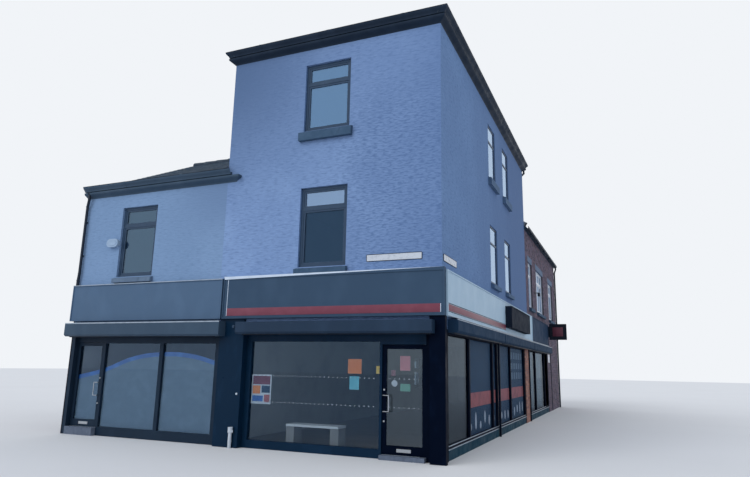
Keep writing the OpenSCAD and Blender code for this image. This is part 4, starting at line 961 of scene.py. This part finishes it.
def addGutterTrim():
    low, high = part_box("corner_cornice")
    wingLow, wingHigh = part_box("wing_gutters")
    rearLow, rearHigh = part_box("extension_gutters")
    out = gutter["lip"][0]
    x0, y0, x1, y1 = low.x + out, low.y + out, high.x - out, high.y - out
    width, depth = high.x - low.x, high.y - low.y
    straps, wingStraps, beads = [], [], []
    runs = [(straps, high.z, low.x, y0, 0, width), (straps, high.z, x1, low.y, 90, depth),
            (straps, high.z, high.x, y1, 180, width), (straps, high.z, x0, high.y, -90, depth),
            (wingStraps, wingHigh.z, wingLow.x, wingLow.y + out, 0, partyLine + 0.15 - wingLow.x),
            (wingStraps, wingHigh.z, partyLine, wingHigh.y - out, 180, partyLine - wingLow.x)]
    for group, top, x, y, turn, length in runs:
        group.append(ogeeStraps((x, y, top - gutter["top"]), turn, length))
        beads.append(gutterBead((x, y, top), turn, length, out))
    length = rearHigh.y - y1
    for x, y, turn in ((x1, y1, 90), (x0, rearHigh.y, -90)):
        straps.append(boxStraps((x, y, rearLow.z), turn, length))
        beads.append(gutterBead((x, y, rearHigh.z), turn, length, boxGutter["front"]))
    finishPiece("gutterUnions", straps, cornicePaint)
    finishPiece("wingGutterUnions", wingStraps, fadedGutterPaint)
    finishPiece("gutterLips", beads, rimPaint)


addGutterTrim()

waste = {
    "socket": 0.050, "pipe": 0.036, "collar": 0.015, "proud": 0.004,
    "beads": (0.010, 0.098),       # below the pipe's top
    "lowBead": 0.135,              # above the ground
    "clip": (0.1275, 0.1425),      # foot and top
    "clipHalf": 0.02,
}


def addWasteTrim():
    # beads round the socket of the waste pipe, and a clip to the pilaster
    low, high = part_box("waste_pipe")
    x, y = low.x + waste["socket"], low.y + waste["socket"]
    (foot, top), half = waste["clip"], waste["clipHalf"]
    rings = []
    places = [(high.z - drop, waste["socket"]) for drop in waste["beads"]]
    for z, radius in places + [(waste["lowBead"], waste["pipe"])]:
        ring = addRound((x, y, z), radius + waste["proud"], waste["collar"], "Z", 32, "NOTHING")
        rings.append(applied(ring, "SOLIDIFY", thickness=waste["proud"] + 0.001, offset=-1))
    clip = addBlock((x - half, y + waste["pipe"], foot), (x + half, y + waste["socket"], top))
    finishPiece("wastePipeCollars", rings + [soften(clip, 0.002)], pipePvc)


addWasteTrim()
print("rainwater goods trimmed")

# Fascias and shutters

signs = {
    "stripeZ": (2.75, 2.915),    # the red stripe on the front fascia
    "stripeX": (-4.90, -0.005),
    "tray": 0.015,               # the sheet behind the fascia's rim
    "rim": 0.075,
    "sideStripeZ": (2.79, 2.92),
    "sideStripeY": (0.03, 5.86),
    "thickness": 0.004,
    "bedding": 0.002,            # how deep a stripe sits in its sheet
    "outline": 0.012,            # the pale edge at both ends of the stripe
}


def addStripes():
    low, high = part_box("front_fascia")
    tray, back = low.y + signs["tray"], low.y + signs["tray"] + signs["bedding"]
    (x0, x1), (z0, z1), t, edge = signs["stripeX"], signs["stripeZ"], signs["thickness"], signs["outline"]
    stripe = addBlock((x0, tray - t, z0), (x1, back, z1))
    finishPiece("frontStripe", [stripe], redVinyl, 0.001)
    edges = [addBlock((x - edge, tray - t - 0.001, z0), (x, back, z1)) for x in (x0, x1 + edge)]
    edges.append(addBlock((x0 - edge, tray - t, z1), (x0, back, high.z - signs["rim"])))
    finishPiece("stripeEdges", edges, brightVinyl, 0.001)
    (y0, y1), (z0, z1) = signs["sideStripeY"], signs["sideStripeZ"]
    face, bedding = sideFace - signs["tray"], signs["bedding"]
    heights = [(z0, z1), (z0 - 0.02, z0 - 0.008), (z1 + 0.01, z1 + 0.022)]  # the stripe, then two thin lines
    stripe, *lines = [addBlock((face - bedding, y0, foot), (face + t, y1, top)) for foot, top in heights]
    finishPiece("sideStripe", [stripe], redVinyl, 0.001)
    finishPiece("sideStripeLines", lines, rimPaint, 0.001)


addStripes()

cappings = {
    "wingBoxEnd": -4.94,
    "sideSheets": ((0.01, 10.88), (10.92, 15.44)),    # both ends of each sheet, in y
    "sideZ": (2.689, 2.706),
}


def addCappings():
    # folded aluminium cappings that catch the sky along the fascias and shutter boxes
    low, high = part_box("wing_fascia")
    caps = [addBlock((low.x, low.y - 0.006, high.z - 0.012), (high.x, 0.0, high.z + 0.006))]
    low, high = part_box("front_shutter_boxes")
    caps.append(addBlock((low.x, low.y - 0.003, high.z - 0.022),
                         (cappings["wingBoxEnd"], low.y + 0.038, high.z + 0.004)))
    low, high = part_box("side_shutter_boxes")
    caps.append(addBlock((high.x - 0.03, low.y, high.z - 0.012), (high.x + 0.003, high.y, high.z + 0.003)))
    foot, top = cappings["sideZ"]
    for y0, y1 in cappings["sideSheets"]:
        caps.append(addBlock((sideFace - 0.012, y0, foot), (sideFace + 0.004, y1, top)))
    finishPiece("aluminiumCappings", caps, trimMetal, 0.003)


shutterBar = {
    "height": 0.05, "depth": 0.025, "seal": 0.015, "inset": 0.005,
    "front": ((-4.40, -0.16, 2.345), (-9.50, -5.12, 2.305)),     # both ends in x, and the foot
    "frontY": -0.19,
    "side": ((0.38, 5.14), (5.27, 10.43), (10.56, 15.67)),       # both ends in y
    "sideX": 0.11, "sideFoot": 2.385,
}


def barPair(x0, y0, z, x1, y1):  # a bottom bar and the rubber seal under it
    inset = shutterBar["inset"]
    return [addBlock((x0, y0, z), (x1, y1, z + shutterBar["height"])),
            addBlock((x0 + inset, y0 + inset, z - shutterBar["seal"]), (x1 - inset, y1 - inset, z + 0.002))]


def addShutterBars():
    # the bottom bars of the raised shutters, in the slots of their boxes
    x, y, depth, bars = shutterBar["sideX"], shutterBar["frontY"], shutterBar["depth"], []
    for x0, x1, z in shutterBar["front"]:
        bars += barPair(x0, y, z, x1, y + depth)
    for y0, y1 in shutterBar["side"]:
        bars += barPair(x, y0, shutterBar["sideFoot"], x + depth, y1)
    finishPiece("shutterBottomBars", bars, shutterSteel, 0.003)


boxScrew = {
    "radius": 0.007, "head": 0.006,
    "count": 8, "spacing": 0.58,
    "rows": ((-4.3, 2.57), (-9.45, 2.59)),    # each row's first screw, in x and z
}


def addBoxScrews():
    # pan-head screws along the front of the shutter boxes
    heads = []
    for x, z in boxScrew["rows"]:
        head = addRound((x, -0.3, z), boxScrew["radius"], boxScrew["head"], "Y", 8)
        heads.append(repeat(head, boxScrew["count"], (boxScrew["spacing"], 0, 0)))
    finishPiece("boxScrews", heads, wingBoxCoat, 0.0015, 1)


addCappings()
addShutterBars()
addBoxScrews()

plate = {"corner": 0.02, "rim": 0.009, "sunk": 0.003}


def namePlate(low, high, axis, sign):  # a bare enamel plate with a raised dark rim and round corners
    piece = painted(addBlock(low, high), rimPaint, enamel)
    openAll(piece)
    bpy.ops.mesh.select_mode(type="EDGE")
    bpy.ops.mesh.select_all(action="DESELECT")
    shape = bmesh.from_edit_mesh(piece.data)
    for edge in shape.edges:
        a, b = (point.co for point in edge.verts)
        edge.select_set(abs(a[axis] - b[axis]) > 0.01)
    bmesh.update_edit_mesh(piece.data)
    bpy.ops.mesh.bevel(offset=plate["corner"], segments=4)
    close()
    openFaces(piece, facing(axis, sign))
    bpy.ops.mesh.inset(thickness=plate["rim"])
    bpy.ops.mesh.inset(thickness=0.001, depth=-plate["sunk"])
    piece.active_material_index = 1
    bpy.ops.object.material_slot_assign()
    close()
    return soften(piece, 0.001, 1)


def addNamePlates():
    plates = []
    for axis, sign in ((1, -1), (0, 1)):
        low, high = nodeExtent("street_name_plates", lambda point: (point.x < -0.2) == (axis == 1))
        plates.append(namePlate(low, high, axis, sign))
    piece = joined(plates)
    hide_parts("street_name_plates")
    finishPiece("streetNamePlates", [piece])


addNamePlates()

signFace = {"proud": 0.008, "bracket": 0.19, "margin": 0.04, "frame": 0.10, "swell": 0.004}


def addSignFaces():
    # the projecting sign's two bare faces, each a plain red panel in a dark frame
    low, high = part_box("projecting_sign")
    faces, margin = [], signFace["margin"]
    for y, side in ((low.y, -1), (high.y, 1)):
        front = y + side * signFace["proud"]
        panel = addBlock((low.x + signFace["bracket"], min(y, front), low.z + margin),
                         (high.x - margin, max(y, front), high.z - margin))
        openFaces(painted(panel, rimPaint, maroonFace), facing(1, side))
        bpy.ops.mesh.inset(thickness=signFace["frame"])
        panel.active_material_index = 1
        bpy.ops.object.material_slot_assign()
        bpy.ops.mesh.inset(thickness=0.002, depth=signFace["swell"])
        close()
        faces.append(soften(panel, 0.002, 1))
    finishPiece("projectingSignFaces", faces)


addSignFaces()

alarm = {
    "cover": (0.78, 0.68),       # its share of the box in x and z
    "depth": 0.016, "screwOut": 0.158,
}


def addAlarmTrim():
    # a shallow oval cover and its two screws on the alarm box
    low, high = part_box("alarm_box")
    x, z, y = (low.x + high.x) / 2, (low.z + high.z) / 2, low.y
    cover = addRound((0, 0, 0), 0.5, 1.0, "Y", 32)
    cover.scale = ((high.x - low.x) * alarm["cover"][0], alarm["depth"], (high.z - low.z) * alarm["cover"][1])
    insetFaces(settle(cover, (x, y, z)), facing(1, -1), 0.010, 0.003)
    screws = [soften(addRound((x + out, y, z), 0.008, 0.008, "Y", 12), 0.002, 1)
              for out in (-alarm["screwOut"], alarm["screwOut"])]
    finishPiece("alarmLens", [soften(cover, 0.003)] + screws, alarmPlastic)


addAlarmTrim()
print("fascias and shutters trimmed")

# Shopfronts

sash = {
    "depth": 0.036, "clear": 0.003,
    "stile": 0.050, "bar": 0.056,
    "topLight": 0.48,      # from the window's head down to the middle of its transom
    "pane": 0.006, "paneBack": 0.014, "rebate": 0.03,
}


def sashFrame(low, high):  # stiles, rails and a transom that stand in front of a fixed frame
    (x0, y0, z0), (x1, y1, z1) = low, high
    s, half, cross = sash["stile"], sash["bar"] / 2, z1 - sash["topLight"]
    bars = [((x0, y0, z0), (x1, y0 + s, z1)), ((x0, y1 - s, z0), (x1, y1, z1))]
    for foot, top in ((z0, z0 + s), (z1 - s, z1), (cross - half, cross + half)):
        bars.append(((x0, y0 + s, foot), (x1, y1 - s, top)))
    return [soften(addBlock(*ends), 0.004) for ends in bars]


def addSideSashes():
    # the corner block's side windows: their outer sashes and panes lie close to the wall's face
    low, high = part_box("side_window_frames")
    middle, clear, rebate = (low + high) / 2, sash["clear"], sash["rebate"]
    frames, panes = [], []
    for far in (False, True):
        for upper in (False, True):
            (_, y0, z0), (_, y1, z1) = nodeExtent(
                "side_window_frames", lambda p: (p.y > middle.y) == far and (p.z > middle.z) == upper)
            start = [high.x, y0 + clear, z0 + clear]
            end = [high.x + sash["depth"], y1 - clear, z1 - clear]
            frames += sashFrame(start, end)
            x = end[0] - sash["paneBack"]
            panes.append(addBlock((x - sash["pane"], start[1] + rebate, start[2] + rebate),
                                  (x, end[1] - rebate, end[2] - rebate)))
    finishPiece("sideSashes", frames, darkFoil)
    finishPiece("sideSashGlass", panes, streetGlass, 0.001, 1)


addSideSashes()

trims = {
    "sillRuns": ((0.36, 9.69), (10.51, 15.69)),        # both ends of the side street's beads, in y
    "sillBeads": ((-0.022, 0.0, 0.196, 0.212), (-0.026, -0.014, 0.256, 0.272)),    # each section in x and z
    "thresholds": ((-1.255, -0.48, 0.08), (-9.485, -8.617, 0.18)),      # both ends in x, and the step's top
    "thresholdY": (0.105, 0.195),
    "dome": ((-4.72, -0.062, 2.52), 0.034, 0.03),      # centre, radius and depth
    "push": ((-4.534, -0.06, 1.098), 0.022, 0.02),
}


def addTrims():
    # silver cover beads on the stall riser and under the side glass, and a bar at the foot of each door
    beads = [addBlock((x0, y0, z0), (x1, y1, z1))
             for y0, y1 in trims["sillRuns"] for x0, x1, z0, z1 in trims["sillBeads"]]
    finishPiece("sillBeads", beads, trimMetal, 0.003)
    near, far = trims["thresholdY"]
    bars = [addBlock((x0, near, z - 0.0005), (x1, far, z + 0.003)) for x0, x1, z in trims["thresholds"]]
    finishPiece("doorThresholds", bars, trimMetal, 0.0012)


def addPilasterFixings():
    # a small dome light high on the pilaster and a white bell push lower down
    dome = insetFaces(addRound(*trims["dome"], "Y", 20), facing(1, -1), 0.008, -0.012)
    finishPiece("pilasterLight", [dome], darkFoil, 0.003)
    push = insetFaces(addRound(*trims["push"], "Y", 20), facing(1, -1), 0.007, -0.005)
    finishPiece("bellPush", [push], pushPlastic, 0.002)


films = {
    "inside": 0.163,         # where films lie, just behind the glass
    "thickness": 0.0015, "edge": 0.0004,
    "poster": (-4.31, -3.82, 0.90, 1.51),      # both ends in x, foot and top
    "posterBlocks": (                          # the same as shares of the poster
        (0.06, 0.94, 0.66, 0.95, redVinyl), (0.06, 0.45, 0.34, 0.62, orangeFilm),
        (0.52, 0.94, 0.38, 0.62, darkFilm), (0.06, 0.60, 0.08, 0.28, blueVinyl),
        (0.66, 0.94, 0.06, 0.32, emberFilm)),
    "stickers": ((-2.03, -1.73, 1.57, 1.86, orangeFilm), (-1.99, -1.78, 1.26, 1.52, cyanFilm),
                 (-1.41, -1.32, 1.58, 1.73, yellowFilm)),
    "notices": ((-0.906, -0.697, 1.65, 1.93, pinkFilm), (-0.90, -0.695, 1.26, 1.40, greenFilm),
                (-1.09, -1.00, 1.545, 1.657, redVinyl)),
    "disc": (-1.02, 1.405, 0.062),             # x, z and radius
}


def filmSheet(x0, x1, z0, z1, material, depth=0.0):
    y = films["inside"] + depth
    sheet = addBlock((x0, y, z0), (x1, y + films["thickness"], z1))
    return painted(soften(sheet, films["edge"], 1), material)


def addWindowFilms():
    # a plain poster in blocks of colour and bare stickers behind the shop window and on the door
    x0, x1, z0, z1 = films["poster"]
    w, h = x1 - x0, z1 - z0
    parts = [filmSheet(x0, x1, z0, z1, paperFilm, 0.003)]
    for a, b, c, d, material in films["posterBlocks"]:
        parts.append(filmSheet(x0 + a * w, x0 + b * w, z0 + c * h, z0 + d * h, material))
    finishPiece("windowPoster", parts)
    finishPiece("windowStickers", [filmSheet(*spot) for spot in films["stickers"]])
    notices = [filmSheet(*spot) for spot in films["notices"]]
    x, z, radius = films["disc"]
    disc = addRound((x, films["inside"], z), radius, films["thickness"], "Y", 24)
    notices.append(painted(soften(disc, films["edge"], 1), paperFilm))
    finishPiece("doorNotices", notices, body="corner_door")


dots = {"radius": 0.014, "step": 0.10, "levels": (0.95, 1.49), "y": 0.1392}


def dotRows(name, x0, x1, body):  # rows of etched dots that mark the glass
    rows = []
    for z in dots["levels"]:
        dot = addRound((x0 + dots["step"] / 2, dots["y"], z), dots["radius"], 0.001, "Y", 10)
        rows.append(repeat(soften(dot, 0.0003, 1), int((x1 - x0) / dots["step"]), (dots["step"], 0, 0)))
    finishPiece(name, rows, etchedDot, body=body)


addTrims()
addPilasterFixings()
addWindowFilms()
dotRows("windowDots", -4.30, -1.33, "building")
dotRows("doorDots", -1.16, -0.45, "corner_door")

arc = {
    # the top of the frosted film on the wing's glass, as x and height
    "crest": ((-9.42, 1.34), (-8.62, 1.51), (-7.70, 1.805), (-6.80, 1.912), (-5.90, 1.865), (-5.27, 1.72)),
    "stripe": 0.10,
    "foot": 0.20, "paneFoot": 0.207,
    "film": 0.0015, "stripeFilm": 0.0012,
    "apart": 0.002,       # between the two films
}


def arcSheet(name, x0, x1, body):
    # one pane's share of the frosted film and of the blue arc above it
    crest, half, inside = arc["crest"], arc["stripe"] / 2, films["inside"]
    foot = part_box("wing_door_glass")[0].z if body == "wing_door" else arc["paneFoot"]
    film = curvedSheet(crest, [(x, arc["foot"]) for x in (crest[0][0], crest[-1][0])], inside, arc["film"])
    stripe = curvedSheet([(x, z + half) for x, z in crest], [(x, z - half) for x, z in crest],
                         inside - arc["apart"], arc["stripeFilm"])
    for sheet, material in ((film, frostVinyl), (stripe, blueVinyl)):
        cutAway(painted(sheet, material), (x0, 0, 0), (-1, 0, 0))
        cutAway(sheet, (x1, 0, 0), (1, 0, 0))
    finishPiece(name, [cutAway(film, (0, 0, foot), (0, 0, -1)), stripe], body=body)


arcSheet("leftPaneFilm", -8.556, -6.872, "building")
arcSheet("rightPaneFilm", -6.768, -5.287, "building")
arcSheet("doorPaneFilm", -9.402, -8.70, "wing_door")

sidePanels = {
    "x": -0.083,                                   # just behind the side glass
    "panes": ((2.222, 4.578), (4.672, 5.158), (5.252, 7.098), (7.192, 9.608)),
    "z": (0.272, 2.358),
    "band": (0.86, 1.18),
    "shapeStep": 0.42, "shapeWidth": 0.16,
    "shapeHeight": (0.16, 0.24),                   # the least, and how much more at most
    "shapeFoot": (0.34, 0.10),
    # pale blocks in the last pane
    "rows": ((2.02, 0.20), (1.72, 0.18), (1.42, 0.20)),   # foot and height
    "rowStart": 0.35, "rowBlock": 0.25, "rowCount": 5,
    "rowEnd": 0.42,                                # from the last block's start to the pane's end
}


def addSidePanels():
    # printed films in the side windows: dark, with an ember band and plain pale shapes under it
    x, (z0, z1), (b0, b1) = sidePanels["x"], sidePanels["z"], sidePanels["band"]
    (least, more), (foot, rise) = sidePanels["shapeHeight"], sidePanels["shapeFoot"]
    sheets, bands, shapes, rows = [], [], [], []
    for number, (y0, y1) in enumerate(sidePanels["panes"]):
        sheets.append(addBlock((x - 0.002, y0, z0), (x, y1, z1)))
        bands.append(addBlock((x, y0, b0), (x + 0.001, y1, b1)))
        count = max(1, int((y1 - y0) / sidePanels["shapeStep"]))
        for place in range(count):
            height = least + more * scatter(place, number)
            middle = y0 + (place + 0.5) * (y1 - y0) / count
            base = foot + rise * scatter(number, place + 3)
            shape = addRound((x + 0.0005, 0, 0), 0.5, 0.001, "X", 14)
            shape.scale = (1, sidePanels["shapeWidth"], height)
            shapes.append(settle(shape, (0, middle, base + height / 2)))
    start, end = sidePanels["panes"][-1]
    start += sidePanels["rowStart"]
    step = (end - start - sidePanels["rowEnd"]) / (sidePanels["rowCount"] - 1)
    for z, height in sidePanels["rows"]:
        block = addBlock((x, start, z), (x + 0.001, start + sidePanels["rowBlock"], z + height))
        rows.append(repeat(block, sidePanels["rowCount"], (0, step, 0)))
    for name, parts, material, edge in (
            ("sidePanelFilms", sheets, darkFilm, 0.0006), ("sidePanelBands", bands, emberFilm, 0.0003),
            ("sidePanelShapes", shapes, paleFilm, 0.0003), ("sidePanelRows", rows, rowFilm, 0.0003)):
        finishPiece(name, parts, material, edge, 1)


endPanel = {"low": (-0.03, 14.77, 0.23), "high": (-0.012, 15.68, 2.42), "frame": 0.05, "sunk": 0.008}


def addEndPanel():
    # the blank panel that closes the side shopfront, with a raised frame
    panel = insetFaces(addBlock(endPanel["low"], endPanel["high"]), facing(0, 1), endPanel["frame"],
                       endPanel["sunk"])
    finishPiece("endPanel", [panel], sideCoat, 0.003)


blind = {
    "runs": ((10.60, 12.23), (12.36, 14.73)),      # both ends of each blind, in y
    "slat": 0.089, "step": 0.075, "z": (0.30, 2.33), "x": -0.20,
    "turn": 62,                                    # degrees that the slats stand open
}


def addBlinds():
    runs = []
    half, (foot, top), x = blind["slat"] / 2, blind["z"], blind["x"]
    for y0, y1 in blind["runs"]:
        slat = soften(addBlock((-half, -0.0008, foot), (half, 0.0008, top)), 0.0006, 1)
        settle(slat, (x, y0, 0), blind["turn"])
        runs.append(repeat(slat, int((y1 - y0) / blind["step"]), (0, blind["step"], 0)))
        runs.append(soften(addBlock((x - 0.02, y0 - 0.02, top), (x + 0.02, y1, top + 0.03)), 0.003))
    finishPiece("verticalBlinds", runs, blindCloth)


fixtures = {
    # arm, head and back, each with two corners and how far its edges are rounded
    "lamp": (((0.0, 12.70, 4.62), (0.16, 12.73, 4.65), 0.004),
             ((0.10, 12.66, 4.50), (0.20, 12.77, 4.63), 0.012),
             ((0.0, 12.66, 4.58), (0.02, 12.77, 4.72), 0)),
    "plate": ((0.0, 15.86, 2.02), (0.014, 16.42, 2.36)),
    "conduitY": 16.75, "conduitX": 0.018, "conduit": 0.014, "conduitTop": 2.7,
    "saddles": (0.4, 1.4, 2.4),
}


def addWallFixtures():
    # a dark bracket lamp on the brickwork, a bare white plate and a conduit by the shop's end
    parts = []
    for low, high, width in fixtures["lamp"]:
        part = addBlock(low, high)
        parts.append(soften(part, width) if width else part)
    finishPiece("bracketLamp", parts, blackPvc, 0.002, 1)
    notice = insetFaces(addBlock(*fixtures["plate"]), facing(0, 1), 0.012, 0.002)
    finishPiece("wallPlate", [notice], enamel, 0.002)
    y, top = fixtures["conduitY"], fixtures["conduitTop"]
    parts = [addRound((fixtures["conduitX"], y, top / 2), fixtures["conduit"], top, "Z", 12)]
    parts += [addBlock((0.0, y - 0.035, z), (0.034, y + 0.035, z + 0.02)) for z in fixtures["saddles"]]
    finishPiece("wallConduit", parts, blackPvc, 0.003, 1)


addSidePanels()
addEndPanel()
addBlinds()
addWallFixtures()
print("shopfronts trimmed")

# Studio


def addStage():
    bpy.ops.object.select_all(action="DESELECT")
    bpy.ops.mesh.primitive_plane_add(size=240, location=(0, 0, -0.002))
    floor = bpy.context.object
    floor.name = "studioFloor"
    floor.data.materials.append(surface("paleStudioFloor", "#D9DCE0", 0.95, [("#D7DADE", 4000, 0.4, 0.7)], [],
                                        specular=0.0))


def addLight():
    world = bpy.data.worlds.new("studioWorld")
    scene.world = world
    world.use_nodes = True
    tree = world.node_tree
    lamp = tree.nodes["Background"]
    lamp.inputs["Color"].default_value = hexColour("#F6F9FF")
    lamp.inputs["Strength"].default_value = 0.85
    rays = addNode(tree, "LightPath")
    seen = rays.outputs["Is Camera Ray"]
    for kind in ("Is Glossy Ray", "Is Transmission Ray"):
        seen = addNode(tree, "Math", links={0: seen, 1: rays.outputs[kind]},
                       operation="MAXIMUM").outputs[0]
    backdrop = addNode(tree, "Background", {"Color": hexColour("#F1F4F8"), "Strength": 1.0})
    mix = addNode(tree, "MixShader", links={0: seen, 1: lamp.outputs[0], 2: backdrop.outputs[0]})
    tree.links.new(mix.outputs[0], tree.nodes["World Output"].inputs["Surface"])
    sun = bpy.data.lights.new("softSun", "SUN")
    sun.energy = 1.0
    sun.angle = math.radians(40)
    holder = bpy.data.objects.new("softSun", sun)
    holder.rotation_euler = Vector((-0.35, -0.75, 0.60)).to_track_quat("Z", "Y").to_euler()
    holder.visible_glossy = False  # no hard glint on the gloss paint
    scene.collection.objects.link(holder)


addStage()
addLight()

print("scene ready")
